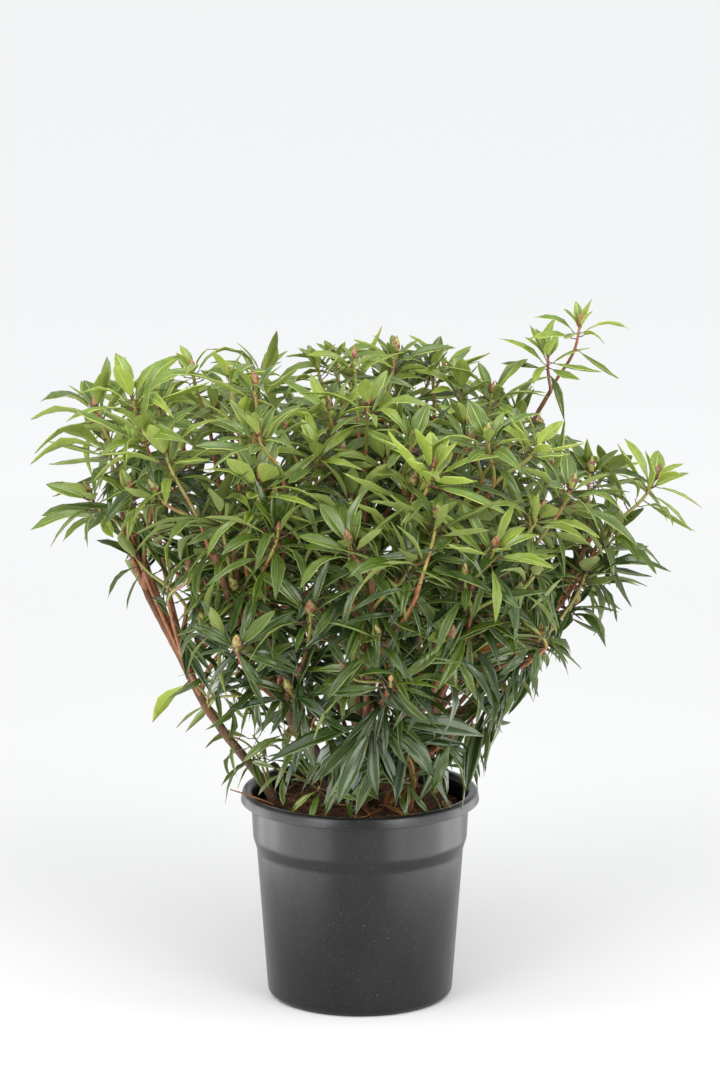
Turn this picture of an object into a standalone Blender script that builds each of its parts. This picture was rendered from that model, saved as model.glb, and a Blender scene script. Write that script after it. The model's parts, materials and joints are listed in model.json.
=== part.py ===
"""A narrow-leaved evergreen rhododendron in a black plastic nursery pot.

Eight woody stems leave the root ball and spread like a vase. Each one carries a bough on its
outer side for the skirt of the crown and a bough on its inner side for the top. A mass of
foliage sits at the tip of every limb, and a few low masses sit straight on the stems.
Units are metres with +Z up. The origin is the centre of the pot's flat underside, and the
front of the plant faces -Y.
"""

import math
import random
from collections import namedtuple

import bmesh
import bpy
from mathutils import Matrix, Vector
from mathutils.bvhtree import BVHTree

# Driving dimensions of the pot
POT_HEIGHT = 0.3125
RIM_RADIUS = 0.177
BASE_RADIUS = 0.139
WALL = 0.0028
POT_SIDES = 32

# Driving dimensions of the root ball
SOIL_LEVEL = 0.290
SOIL_EDGE_DROP = 0.010
SOIL_CROWN_RADIUS = 0.125

# Driving dimensions of the crown
CROWN_HALF_WIDTH = 0.505
CROWN_HALF_DEPTH = 0.450
CROWN_TOP = 0.978
CROWN_FLAT_RADIUS = 0.24
CROWN_EDGE_DROP = 0.065
UNDERSIDE_FOOT = 0.300
UNDERSIDE_FOOT_REACH = 0.200
UNDERSIDE_SLOPE = 1.35
BARE_LEFT_RISE = 0.165
BARE_LEFT_SLOPE = 0.85
LEADER_TOP = 1.030

# Clearances between touching solids, and between foliage and everything else
SEAT_GAP = 0.0003
FOLIAGE_GAP = 0.0012
RIM_CLEARANCE = 0.006
LOWEST_LEAF = 0.240

GOLDEN_ANGLE = math.pi * (3 - math.sqrt(5))
UP = Vector((0, 0, 1))

# The stems stand in a ring, named for the side that each one leans to
SIDES = ("right", "back_right", "back", "back_left", "left", "front_left", "front", "front_right")
STEM_STEP = math.tau / len(SIDES)
STEM_SWAY = 0.09
BARE_SIDE = "left"
HEART_SIDES = ("left", "right")
INNER_TOP_SIDES = ("front", "back")
INNER_TOP = 0.34
LOW_SIDES = ("front", "front_right", "right", "back")
LEADER_SIDE = "back_right"

# One level of the crown: where the middle of its masses lies, as a share of the crown's
# half width and as a height, and how its shoots and leaves stand
Tier = namedtuple("Tier", "share height shoots leaves spread lean leaf_scale lift")
TIERS = {
    "shoulder": Tier(0.745, 0.780, 6, 6, 1.10, 1.10, 1.00, 0.15),
    "skirt": Tier(0.600, 0.590, 6, 6, 1.15, 1.30, 1.05, 0.05),
    "top": Tier(0.430, 0.878, 6, 6, 1.00, 1.00, 0.90, 0.10),
    "heart": Tier(0.250, 0.715, 6, 6, 1.10, 1.15, 1.00, 0.05),
    "low": Tier(0.430, 0.460, 5, 6, 1.00, 1.20, 1.00, 0.10),
    "leader": Tier(0.680, 0.920, 4, 6, 0.75, 0.95, 0.68, 0.30),
}
SHOULDER_LEFT_RISE = 0.022
SHOULDER_BACK_RISE = 0.025
SKIRT_LEFT_RISE = 0.070

# One kind of bough: where it leaves its stem, how far it points at its mass and how far up,
# how much short of the mass's middle it stops, its radii, and how far round the crown its
# mass lies from the stem, in steps of the ring
Bough = namedtuple("Bough", "leaves_at aim lift short foot tip turn")
BOUGHS = {
    "skirt": Bough(0.47, 0.8, 0.0, 0.075, 0.0048, 0.0034, 0.42),
    "top": Bough(0.56, 1.0, 0.6, 0.070, 0.0050, 0.0036, 0.0),
    "heart": Bough(0.56, 1.0, 0.0, 0.070, 0.0050, 0.0036, 0.0),
    "leader": Bough(0.86, 0.7, 0.5, 0.045, 0.0040, 0.0032, -0.50),
}
BOUGH_ELBOW = 0.42
BOUGH_POINTS = 7
BOUGH_SIDES = 6

STEM_HEIGHTS = (0.245, 0.315, 0.420, 0.515)
STEM_FOOT_REACH = 0.052
STEM_FORK_SHARE = 0.56
BARE_FOOT_REACH = 0.125
BARE_FORK_REACH = 0.268
STEM_FOOT_RADIUS = 0.0085
STEM_TIP_RADIUS = 0.0042
STEM_STOPS_SHORT = 0.085
STEM_POINTS = 13
STEM_FACETS = 8
ROOT_FLARE = 0.25
FLARE_SHARE = 0.14
LOW_MASS_AT = 0.33
LOW_MASS_TURN = -0.10

# Leaves and shoots
LEAF_LENGTH = 0.120
LEAF_WIDTH = 0.031
LEAF_THICKNESS = 0.0040
LEAF_WIDEST = 0.42
LEAF_ARCH = 0.05
LEAF_DROOP = 0.12
LEAF_PITCH = 0.0065
LEAF_SINK = 0.0010
LEAF_SWING = math.radians(30)
LEAF_TRIES = 14
LEAF_SHRINK = 0.035
TIP_BARE = 0.006
SHOOT_LENGTH = 0.084
SHOOT_PITCH = 0.0080
SHOOT_SWING = math.radians(24)
SHOOT_SINK = 0.0012
SHOOT_TRIES = 10
AXIS_BARE = 0.014
AXIS_FOOT = 0.0064
AXIS_TIP = 0.0044
TWIG_FOOT = 0.0040
TWIG_TIP = 0.0036

Mass = namedtuple("Mass", "name tier start heading centre seed")
Limb = namedtuple("Limb", "name path foot tip flare facets")


# ---------------------------------------------------------------- scene and materials


def clear_scene():
    for item in list(bpy.data.objects):
        bpy.data.objects.remove(item)


def new_collection(name, drawn=True):
    made = bpy.data.collections.new(name)
    bpy.context.scene.collection.children.link(made)
    made.hide_render = not drawn
    return made


def plain_material(name, colour, roughness):
    made = bpy.data.materials.new(name)
    made.use_nodes = True
    shader = made.node_tree.nodes["Principled BSDF"]
    shader.inputs["Base Color"].default_value = (*colour, 1)
    shader.inputs["Roughness"].default_value = roughness
    shader.inputs["Metallic"].default_value = 0
    made.diffuse_color = (*colour, 1)
    return made


def object_of(name, mesh, collection, material):
    made = bpy.data.objects.new(name, mesh)
    collection.objects.link(made)
    if not mesh.materials:
        mesh.materials.append(material)
    return made


def evaluated_copy(source, merge=1e-5):
    """The object's shape as a plain mesh in world space, with loose caps welded."""
    bpy.context.view_layer.update()
    graph = bpy.context.evaluated_depsgraph_get()
    mesh = bpy.data.meshes.new_from_object(source.evaluated_get(graph), depsgraph=graph)
    mesh.transform(source.matrix_world)
    shape = bmesh.new()
    shape.from_mesh(mesh)
    bmesh.ops.remove_doubles(shape, verts=shape.verts, dist=merge)
    shape.to_mesh(mesh)
    shape.free()
    return mesh


def remove_object(item):
    data = item.data
    bpy.data.objects.remove(item)
    if isinstance(data, bpy.types.Mesh):
        bpy.data.meshes.remove(data)
    else:
        bpy.data.curves.remove(data)


# ---------------------------------------------------------------- pot and root ball


def turned(name, profile, collection, material):
    """A solid of revolution from (radius, height) points that run down the outer side."""
    mesh = bpy.data.meshes.new(name)
    edges = [(i, i + 1) for i in range(len(profile) - 1)]
    mesh.from_pydata([(radius, 0, height) for radius, height in profile], edges, [])
    made = object_of(name, mesh, collection, material)
    screw = made.modifiers.new("turn", "SCREW")
    screw.axis = "Z"
    screw.steps = POT_SIDES
    screw.render_steps = POT_SIDES
    screw.use_merge_vertices = True
    screw.merge_threshold = 1e-5
    screw.use_smooth_shade = True
    return made


def wall_radius(height):
    """Outer radius of the tapering wall below the shoulder step."""
    return BASE_RADIUS + (height - 0.026) * 0.0735


STEP_LOW = 0.224
STEP_HIGH = 0.241
BAND_RADIUS = 0.159
BAND_TOP_RADIUS = 0.1618
LIP_DROP = 0.0165
HEEL_HEIGHT = 0.012
FLOOR_THICKNESS = 0.0032


def build_pot(collection, material):
    """Injection-moulded pot: a turned-down lip, an upper band, a step and a tapering wall."""
    lip_foot = POT_HEIGHT - LIP_DROP
    under_lip = POT_HEIGHT - 0.0045
    profile = [
        (0, FLOOR_THICKNESS),
        (wall_radius(HEEL_HEIGHT) - 0.010, FLOOR_THICKNESS),
        (wall_radius(HEEL_HEIGHT) - WALL - 0.001, HEEL_HEIGHT),
        (wall_radius(STEP_LOW) - WALL, STEP_LOW),
        (BAND_RADIUS - WALL, STEP_HIGH + 0.001),
        (BAND_TOP_RADIUS - WALL, under_lip),
        (BAND_TOP_RADIUS + 0.0008, POT_HEIGHT - 0.0008),
        (BAND_TOP_RADIUS + 0.0055, POT_HEIGHT),
        (RIM_RADIUS - 0.0042, POT_HEIGHT - 0.0012),
        (RIM_RADIUS - 0.0012, POT_HEIGHT - 0.0042),
        (RIM_RADIUS, lip_foot + 0.001),
        (RIM_RADIUS - 0.0006, lip_foot),
        (RIM_RADIUS - 0.0028, lip_foot),
        (RIM_RADIUS - 0.0036, POT_HEIGHT - 0.0056),
        (BAND_TOP_RADIUS + 0.0016, under_lip - 0.001),
        (BAND_TOP_RADIUS, under_lip - 0.004),
        (BAND_RADIUS, STEP_HIGH),
        (wall_radius(STEP_LOW), STEP_LOW),
        (wall_radius(0.026), 0.026),
        (wall_radius(HEEL_HEIGHT), HEEL_HEIGHT),
        (wall_radius(0) - 0.0035, 0.003),
        (wall_radius(0) - 0.0085, 0),
        (0, 0),
    ]
    return turned("pot", profile, collection, material)


def soil_height(radius):
    """Top of the potting soil: a flat crown that falls away towards the wall."""
    fall = max(0.0, radius - SOIL_CROWN_RADIUS)
    return SOIL_LEVEL - SOIL_EDGE_DROP * min(1.0, fall / 0.03) ** 1.5


def build_root_ball(collection, material):
    """Root ball and potting soil, moulded by the inside of the pot."""
    clear = WALL + SEAT_GAP
    edge = BAND_RADIUS + 0.0018 - clear
    profile = [(0, SOIL_LEVEL)]
    for radius in (SOIL_CROWN_RADIUS, 0.138, 0.148):
        profile.append((radius, soil_height(radius)))
    profile += [
        (edge, SOIL_LEVEL - SOIL_EDGE_DROP),
        (BAND_RADIUS - clear, STEP_HIGH + 0.001),
        (wall_radius(STEP_LOW) - clear, STEP_LOW - 0.001),
        (wall_radius(HEEL_HEIGHT) - clear - 0.001, HEEL_HEIGHT),
        (wall_radius(HEEL_HEIGHT) - 0.0107, FLOOR_THICKNESS + SEAT_GAP),
        (0, FLOOR_THICKNESS + SEAT_GAP),
    ]
    return turned("root_ball", profile, collection, material)


# ---------------------------------------------------------------- limbs


def around(azimuth, radius, height):
    return Vector((radius * math.cos(azimuth), radius * math.sin(azimuth), height))


def crown_reach(azimuth, share):
    """Distance from the middle, as a share of the oval crown's half width."""
    across = math.cos(azimuth) / CROWN_HALF_WIDTH
    deep = math.sin(azimuth) / CROWN_HALF_DEPTH
    return share / math.hypot(across, deep)


def crown_top(radius):
    """Top of the crown: level over the middle and lower towards the rim."""
    outer = max(0.0, radius - CROWN_FLAT_RADIUS) / (CROWN_HALF_WIDTH - CROWN_FLAT_RADIUS)
    return CROWN_TOP - CROWN_EDGE_DROP * outer**1.5


def crown_underside(azimuth, radius):
    """Lowest foliage: over the rim of the pot in front, and far higher on the bare left side."""
    bare = max(0.0, -math.cos(azimuth)) ** 2
    foot = UNDERSIDE_FOOT + BARE_LEFT_RISE * bare
    slope = UNDERSIDE_SLOPE + (BARE_LEFT_SLOPE - UNDERSIDE_SLOPE) * bare
    return foot + slope * max(0.0, radius - UNDERSIDE_FOOT_REACH)


def smooth_path(knots, count):
    """Evenly spaced points on a Catmull-Rom curve through the knots."""
    ends = [knots[0] * 2 - knots[1], *knots, knots[-1] * 2 - knots[-2]]
    spans = len(knots) - 1
    path = []
    for step in range(count):
        place = step / (count - 1) * spans
        span = min(int(place), spans - 1)
        t = place - span
        a, b, c, d = ends[span : span + 4]
        path.append(
            0.5 * (2 * b + (c - a) * t + (2 * a - 5 * b + 4 * c - d) * t**2 + (3 * b - a - 3 * c + d) * t**3)
        )
    return path


def bent_path(start, leave, centre, short):
    """A limb that leaves along one direction and bends once towards a mass's middle."""
    elbow = start + leave.normalized() * (centre - start).length * BOUGH_ELBOW
    tip = centre - (centre - elbow).normalized() * short
    path = []
    for step in range(BOUGH_POINTS):
        t = step / (BOUGH_POINTS - 1)
        path.append(start * (1 - t) ** 2 + elbow * 2 * t * (1 - t) + tip * t**2)
    return path


def limb_radius(limb, share, extra=0.0):
    """Tapering radius, with a root flare at the foot where the limb has one."""
    taper = limb.foot + (limb.tip - limb.foot) * share**0.8
    flare = limb.flare * max(0.0, 1 - share / FLARE_SHARE) ** 2
    return taper * (1 + flare) + extra


def limb_curve(limb, name, collection, material, extra=0.0):
    """The limb as a bevelled curve whose points carry the radius."""
    data = bpy.data.curves.new(name, "CURVE")
    data.dimensions = "3D"
    data.bevel_depth = 1
    data.bevel_resolution = (limb.facets - 4) // 2
    data.use_fill_caps = True
    spline = data.splines.new("POLY")
    spline.points.add(len(limb.path) - 1)
    last = len(limb.path) - 1
    for index, (point, place) in enumerate(zip(spline.points, limb.path)):
        point.co = (*place, 1)
        point.radius = limb_radius(limb, index / last, extra)
    data.materials.append(material)
    made = bpy.data.objects.new(name, data)
    collection.objects.link(made)
    return made


def limb_mesh(limb, name, collection, material, extra=0.0):
    curve = limb_curve(limb, name + "_line", collection, material, extra)
    mesh = evaluated_copy(curve)
    remove_object(curve)
    return object_of(name, mesh, collection, material)


def cut_flat_below(item, level):
    """The flat cut at ground level: everything below it goes, and the cut is closed."""
    shape = bmesh.new()
    shape.from_mesh(item.data)
    geometry = shape.verts[:] + shape.edges[:] + shape.faces[:]
    bmesh.ops.bisect_plane(
        shape, geom=geometry, plane_co=(0, 0, level), plane_no=(0, 0, 1), clear_inner=True
    )
    rim = [edge for edge in shape.edges if edge.is_boundary]
    bmesh.ops.holes_fill(shape, edges=rim)
    shape.to_mesh(item.data)
    shape.free()


def seat_on_stem(bough, stem, cutters, material):
    """Cuts the bough's foot to the side of its stem, a seat gap clear of it."""
    cutter = limb_mesh(stem, bough.name + "_seat", cutters, material, extra=SEAT_GAP * 1.4)
    cut = bough.modifiers.new("seat", "BOOLEAN")
    cut.operation = "DIFFERENCE"
    cut.solver = "EXACT"
    cut.object = cutter
    mesh = evaluated_copy(bough, merge=1e-6)
    bough.modifiers.clear()
    bough.data = mesh
    remove_object(cutter)


def tier_centre(tier, bearing, share=None):
    """Middle of a mass on one level. The crown stands higher at the left and at the back."""
    rise = 0
    if tier == "shoulder":
        rise = SHOULDER_LEFT_RISE * (1 - math.cos(bearing)) + SHOULDER_BACK_RISE * math.sin(bearing)
    if tier == "skirt":
        rise = SKIRT_LEFT_RISE * max(0, -math.cos(bearing))
    reach = crown_reach(bearing, share or TIERS[tier].share)
    return around(bearing, reach, TIERS[tier].height + rise)


def stem_limb(side, azimuth, centre):
    """A stem from below the soil to the shoulder. The bare one stands out at the pot's edge."""
    bare = side == BARE_SIDE
    foot = BARE_FOOT_REACH if bare else STEM_FOOT_REACH
    fork = BARE_FORK_REACH if bare else STEM_FORK_SHARE * math.hypot(centre.x, centre.y)
    reaches = (foot * 0.9, foot * 1.12, (foot + fork) * 0.56, fork)
    knots = [around(azimuth, reach, height) for reach, height in zip(reaches, STEM_HEIGHTS)]
    heading = (centre - knots[-1]).normalized() * 0.6 + UP * 0.15
    tip = centre - heading.normalized() * STEM_STOPS_SHORT
    knots += [(knots[-1] + tip) / 2 + around(azimuth, 0.012, -0.004), tip]
    path = smooth_path(knots, STEM_POINTS)
    return Limb("stem_" + side, path, STEM_FOOT_RADIUS, STEM_TIP_RADIUS, ROOT_FLARE, STEM_FACETS)


def point_on(path, share):
    place = share * (len(path) - 1)
    low = min(int(place), len(path) - 2)
    return path[low].lerp(path[low + 1], place - low), (path[low + 1] - path[low]).normalized()


def bough_limb(name, kind, stem, centre):
    start, along = point_on(stem.path, kind.leaves_at)
    leave = (centre - start).normalized() * kind.aim + along * (1 - kind.aim) + UP * kind.lift
    return Limb(name, bent_path(start, leave, centre, kind.short), kind.foot, kind.tip, 0, BOUGH_SIDES)


def tip_mass(name, tier, limb, centre, seed):
    heading = (limb.path[-1] - limb.path[-2]).normalized()
    return Mass(name, tier, limb.path[-1], heading, centre, seed)


def side_mass(name, tier, stem, share, centre, seed):
    """A mass whose own stem springs from the side of a stem, at right angles to it."""
    start, along = point_on(stem.path, share)
    away = centre - start
    away = (away - along * away.dot(along)).normalized()
    start = start + away * (limb_radius(stem, share) + SEAT_GAP * 1.5)
    return Mass(name, tier, start, away, centre, seed)


def plan_plant():
    """Every limb and every mass, worked out before anything is built."""
    limbs, parents, masses = [], {}, []
    for index, side in enumerate(SIDES):
        azimuth = index * STEM_STEP + random.Random("sway" + side).uniform(-STEM_SWAY, STEM_SWAY)
        centre = tier_centre("shoulder", azimuth)
        stem = stem_limb(side, azimuth, centre)
        limbs.append(stem)
        masses.append(tip_mass("foliage_shoulder_" + side, "shoulder", stem, centre, index))

        kinds = ["skirt", "heart" if side in HEART_SIDES else "top"]
        if side == LEADER_SIDE:
            kinds.append("leader")
        for order, tier in enumerate(kinds):
            kind = BOUGHS[tier]
            share = TIERS["top"].share * INNER_TOP if order == 1 and side in INNER_TOP_SIDES else None
            centre = tier_centre(tier, azimuth + STEM_STEP * kind.turn, share)
            place = tier if tier == "leader" else f"{tier}_{side}"
            bough = bough_limb("bough_" + place, kind, stem, centre)
            limbs.append(bough)
            parents[bough.name] = stem
            masses.append(tip_mass("foliage_" + place, tier, bough, centre, 20 * (order + 1) + index))

        if side in LOW_SIDES:
            centre = tier_centre("low", azimuth + STEM_STEP * LOW_MASS_TURN)
            masses.append(side_mass("foliage_low_" + side, "low", stem, LOW_MASS_AT, centre, 80 + index))
    return limbs, parents, masses


# ---------------------------------------------------------------- foliage


def twig_shape(start, end, foot, tip):
    """A tapering twig with three flat sides."""
    shape = bmesh.new()
    bmesh.ops.create_cone(
        shape, cap_ends=True, segments=3, radius1=foot, radius2=tip, depth=(end - start).length
    )
    turn = (end - start).to_track_quat("Z", "Y").to_matrix().to_4x4()
    bmesh.ops.transform(shape, matrix=Matrix.Translation((start + end) / 2) @ turn, verts=shape.verts)
    return shape


def blade_shape(root, along, face, length):
    """A leaf of six faces, drawn from a three-sided spindle: flat above with a keel below,
    widest near its middle and gently arched."""
    shape = bmesh.new()
    bmesh.ops.create_uvsphere(shape, u_segments=3, v_segments=2, radius=1)
    across = face.cross(along).normalized()
    face = along.cross(across).normalized()
    for vert in shape.verts:
        keel, edge, end = vert.co
        middle = abs(end) < 0.5
        rise = LEAF_ARCH * length - LEAF_THICKNESS * (keel + 0.5) / 1.5 if middle else 0
        share = LEAF_WIDEST if middle else (end + 1) / 2
        vert.co = root + across * edge * LEAF_WIDTH / math.sqrt(3) + face * rise + along * share * length
    bmesh.ops.recalc_face_normals(shape, faces=shape.faces)
    return shape


class Space:
    """The space that one mass keeps to: nearer to its own middle than to any other's."""

    def __init__(self, mass, masses, solids):
        self.planes = []
        self.solids = solids
        self.leads = mass.tier == "leader"
        for other in masses:
            if other.name != mass.name:
                away = (other.centre - mass.centre).normalized()
                self.planes.append(((other.centre + mass.centre) / 2, away))

    def holds(self, shape, company=()):
        for vert in shape.verts:
            place = vert.co
            if any((place - middle).dot(away) > -FOLIAGE_GAP for middle, away in self.planes):
                return False
            radius = math.hypot(place.x, place.y)
            over_pot = radius < RIM_RADIUS + RIM_CLEARANCE
            if place.z < (POT_HEIGHT + RIM_CLEARANCE if over_pot else LOWEST_LEAF):
                return False
            azimuth = math.atan2(place.y, place.x)
            if radius > crown_reach(azimuth, 1.03) or place.z < crown_underside(azimuth, radius):
                return False
            if place.z > (LEADER_TOP if self.leads else crown_top(radius)):
                return False
        tree = BVHTree.FromBMesh(shape)
        return not any(tree.overlap(solid) for solid in (*self.solids, *company))


def flat_sides(twig, along):
    """Outward directions of a twig's flat sides."""
    twig.normal_update()
    return [face.normal.copy() for face in twig.faces if abs(face.normal.dot(along)) < 0.5]


def side_of(flats, along, index, swing):
    """A direction out of one flat side. The sides take turns, and each second turn swings apart."""
    swing = swing if index // len(flats) % 2 else -swing
    return Matrix.Rotation(swing, 3, along) @ flats[index % len(flats)]


def leaf_shape(shoot, tier, draw, index, attempt):
    """One leaf of a whorl: the lower leaves spring lower down and stand more level."""
    tip, along, flats, _ = shoot
    loose = 1 + attempt / LEAF_TRIES
    radial = side_of(flats, along, index, LEAF_SWING + draw.uniform(-0.12, 0.12) * loose)
    lean = tier.lean * (1 + draw.uniform(-0.25, 0.20) * loose) * (0.85 + 0.35 * index / tier.leaves)
    direction = along * math.cos(lean) + radial * math.sin(lean)
    direction = (direction - UP * LEAF_DROOP * tier.lean).normalized()
    face = along * math.sin(lean) - radial * math.cos(lean) + UP * 0.35
    length = LEAF_LENGTH * tier.leaf_scale * draw.uniform(0.85, 1.12) * (1 - LEAF_SHRINK * attempt)
    root = tip - along * (TIP_BARE + LEAF_PITCH * index) - direction * LEAF_SINK
    return blade_shape(root, direction, face, length)


def shoot_shape(foot, axis, flats, tier, draw, index):
    """A side shoot of a mass's stem: the outer ones stand closer to the stem's own line."""
    radial = side_of(flats, axis, index, SHOOT_SWING + draw.uniform(-0.12, 0.12))
    lean = tier.spread * draw.uniform(0.80, 1.10) * (1.05 - 0.25 * index / tier.shoots)
    direction = (axis * math.cos(lean) + radial * math.sin(lean) + UP * tier.lift).normalized()
    root = foot + axis * (AXIS_BARE + SHOOT_PITCH * index) - direction * SHOOT_SINK
    tip = root + direction * SHOOT_LENGTH * draw.uniform(0.80, 1.15)
    return twig_shape(root, tip, TWIG_FOOT, TWIG_TIP), tip, direction


def grow_mass(mass, masses, solids, collection, material):
    """One mass: a stem that goes on from its limb's tip, side shoots that leave it in turn,
    and a whorl of leaves round the tip of each. What would leave the mass's space or touch a
    limb or a neighbour is tried again, shorter, and then skipped."""
    tier = TIERS[mass.tier]
    draw = random.Random(mass.seed)
    space = Space(mass, masses, solids)
    foot = mass.start + mass.heading * SEAT_GAP
    axis = mass.heading
    tip = foot + axis * (AXIS_BARE + SHOOT_LENGTH)
    stem = twig_shape(foot, tip, AXIS_FOOT, AXIS_TIP)
    flats = flat_sides(stem, axis)
    parts = [stem]
    shoots = [(tip, axis, flats, BVHTree.FromBMesh(stem))]
    for index in range(tier.shoots - 1):
        for _ in range(SHOOT_TRIES):
            twig, tip, direction = shoot_shape(foot, axis, flats, tier, draw, index)
            beside = [tree for *_, tree in shoots[1:]]
            if space.holds(twig, beside):
                parts.append(twig)
                shoots.append((tip, direction, flat_sides(twig, direction), BVHTree.FromBMesh(twig)))
                break
            twig.free()
    leaves = 0
    grown = []
    for shoot in shoots:
        others = [other[-1] for other in shoots if other is not shoot]
        for index in range(tier.leaves):
            for attempt in range(LEAF_TRIES):
                leaf = leaf_shape(shoot, tier, draw, index, attempt)
                if space.holds(leaf, grown + others):
                    parts.append(leaf)
                    grown.append(BVHTree.FromBMesh(leaf))
                    leaves += 1
                    break
                leaf.free()
    return fuse(mass.name, parts, collection, material), leaves


def keep_outer_shell(mesh):
    """Keeps the largest shell: a hollow that the union sealed is filled, a scrap is dropped."""
    shape = bmesh.new()
    shape.from_mesh(mesh)
    unseen = set(shape.verts)
    shells = []
    while unseen:
        shell, front = set(), [unseen.pop()]
        while front:
            vert = front.pop()
            shell.add(vert)
            beside = {link.other_vert(vert) for link in vert.link_edges} & unseen
            unseen -= beside
            front += beside
        shells.append(shell)
    outer = max(shells, key=len)
    spare = [vert for vert in shape.verts if vert not in outer]
    bmesh.ops.delete(shape, geom=spare, context="VERTS")
    shape.to_mesh(mesh)
    shape.free()


def fuse(name, parts, collection, material):
    """One Boolean union of all the twigs and leaves of a mass."""
    pieces = bpy.data.collections.new(name + "_pieces")
    objects = []
    for index, shape in enumerate(parts):
        mesh = bpy.data.meshes.new(f"{name}_{index}")
        shape.to_mesh(mesh)
        shape.free()
        objects.append(object_of(f"{name}_{index}", mesh, pieces, material))
    base = objects[0]
    pieces.objects.unlink(base)
    collection.objects.link(base)
    base.name = name
    union = base.modifiers.new("union", "BOOLEAN")
    union.operation = "UNION"
    union.operand_type = "COLLECTION"
    union.collection = pieces
    mesh = evaluated_copy(base, merge=1e-7)
    keep_outer_shell(mesh)
    base.modifiers.clear()
    base.data = mesh
    mesh.name = name
    for item in objects[1:]:
        remove_object(item)
    bpy.data.collections.remove(pieces)
    return base


# ---------------------------------------------------------------- assembly


def main():
    clear_scene()
    plant = new_collection("potted_rhododendron")
    cutters = new_collection("cutters", drawn=False)
    plastic = plain_material("black_plastic", (0.045, 0.047, 0.050), 0.42)
    soil = plain_material("potting_soil", (0.075, 0.042, 0.024), 0.95)
    bark = plain_material("brown_bark", (0.30, 0.145, 0.070), 0.80)
    leaf = plain_material("green_leaf", (0.110, 0.205, 0.045), 0.45)

    pot = build_pot(plant, plastic)
    root_ball = build_root_ball(plant, soil)

    limbs, parents, masses = plan_plant()
    for limb in limbs:
        made = limb_mesh(limb, limb.name, plant, bark)
        if limb.name in parents:
            seat_on_stem(made, parents[limb.name], cutters, bark)
        else:
            cut_flat_below(made, SOIL_LEVEL + SEAT_GAP)
        made.data.name = limb.name

    graph = bpy.context.evaluated_depsgraph_get()
    solids = [BVHTree.FromObject(item, graph) for item in (pot, root_ball)]
    for limb in limbs:
        shadow = limb_mesh(limb, limb.name + "_space", cutters, bark, extra=FOLIAGE_GAP)
        shape = bmesh.new()
        shape.from_mesh(shadow.data)
        solids.append(BVHTree.FromBMesh(shape))
        shape.free()
        remove_object(shadow)

    total = 0
    for mass in masses:
        made, leaves = grow_mass(mass, masses, solids, plant, leaf)
        total += leaves
        print(mass.name, leaves, "leaves", len(made.data.polygons), "faces")
    print("leaves in all:", total)


main()
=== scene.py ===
"""Dresses the potted rhododendron: pot, soil, barked stems, shoots, leaves and buds.

Metres, +Z up. The origin is the centre of the pot's underside and the front faces -Y.
"""

import json
import math
import random
from collections import namedtuple

import bmesh
import bpy
from mathutils import Matrix, Quaternion, Vector, noise

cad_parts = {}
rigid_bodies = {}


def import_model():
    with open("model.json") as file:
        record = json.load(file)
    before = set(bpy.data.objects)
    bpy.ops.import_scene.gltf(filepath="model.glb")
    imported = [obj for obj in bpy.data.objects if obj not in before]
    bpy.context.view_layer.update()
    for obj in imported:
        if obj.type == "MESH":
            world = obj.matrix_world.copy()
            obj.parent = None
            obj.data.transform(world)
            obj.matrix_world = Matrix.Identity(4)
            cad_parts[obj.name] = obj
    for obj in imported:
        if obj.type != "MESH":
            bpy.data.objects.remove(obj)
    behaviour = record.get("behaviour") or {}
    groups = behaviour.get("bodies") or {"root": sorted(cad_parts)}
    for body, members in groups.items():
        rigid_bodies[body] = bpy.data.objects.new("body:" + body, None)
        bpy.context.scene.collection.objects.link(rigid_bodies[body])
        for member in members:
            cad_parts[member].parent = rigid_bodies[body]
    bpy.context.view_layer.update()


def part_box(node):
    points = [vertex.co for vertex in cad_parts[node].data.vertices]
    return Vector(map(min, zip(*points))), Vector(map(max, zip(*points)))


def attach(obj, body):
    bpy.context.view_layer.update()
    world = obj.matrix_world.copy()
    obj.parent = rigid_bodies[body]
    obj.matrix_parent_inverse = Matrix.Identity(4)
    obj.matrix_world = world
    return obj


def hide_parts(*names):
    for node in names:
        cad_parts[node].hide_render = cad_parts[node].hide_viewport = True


# ------------------------------------------------------------------ frame and camera
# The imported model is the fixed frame. The camera stands 6.6 m in front of the pot and 2.1 m
# up, and looks down at the crown through a long lens.

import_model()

CAMERA_DISTANCE = 6.568
CAMERA_HEIGHT = 2.071
CAMERA_PITCH_DOWN = 0.2078
LENS_MM = 152.1
FILM_MM = 36.0
CAMERA_SIGHT = 100

lens = bpy.data.cameras.new("camera")
lens.lens = LENS_MM
lens.sensor_width = FILM_MM
lens.clip_end = CAMERA_SIGHT
camera = bpy.data.objects.new("camera", lens)
camera.location = (0, -CAMERA_DISTANCE, CAMERA_HEIGHT)
camera.rotation_euler = (math.pi / 2 - CAMERA_PITCH_DOWN, 0, 0)
bpy.context.scene.collection.objects.link(camera)
bpy.context.scene.camera = camera


# ------------------------------------------------------------------ pot
# A thin injection-moulded nursery pot in black polypropylene: a rolled lip that stands out
# from the wall, an upper band, a step for stacking, a tapering wall and a rounded heel.

POT_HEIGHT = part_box("pot")[1][2]
RIM_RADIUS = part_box("pot")[1][0]
POT_BASE_RADIUS = 0.139
POT_BASE_HEIGHT = 0.026
POT_WALL = 0.0028
POT_FLOOR = 0.0032
FOOT_RECESS = 0.0018
POT_SIDES = 144
POT_TAPER = 0.0735
STEP_LOW = 0.224
STEP_HIGH = 0.241
BAND_RADIUS = 0.159
BAND_TOP_RADIUS = 0.1618
LIP_DROP = 0.0165
LIP_THICKNESS = 0.0045
HEEL_HEIGHT = 0.012
POT_CORNER = 0.0045
CORNER_SHARE = 0.45
JOIN_GAP = 1e-5
POT_SHARP_ANGLE = math.radians(40)


def pot_wall_radius(height):
    return POT_BASE_RADIUS + (height - POT_BASE_HEIGHT) * POT_TAPER


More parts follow.
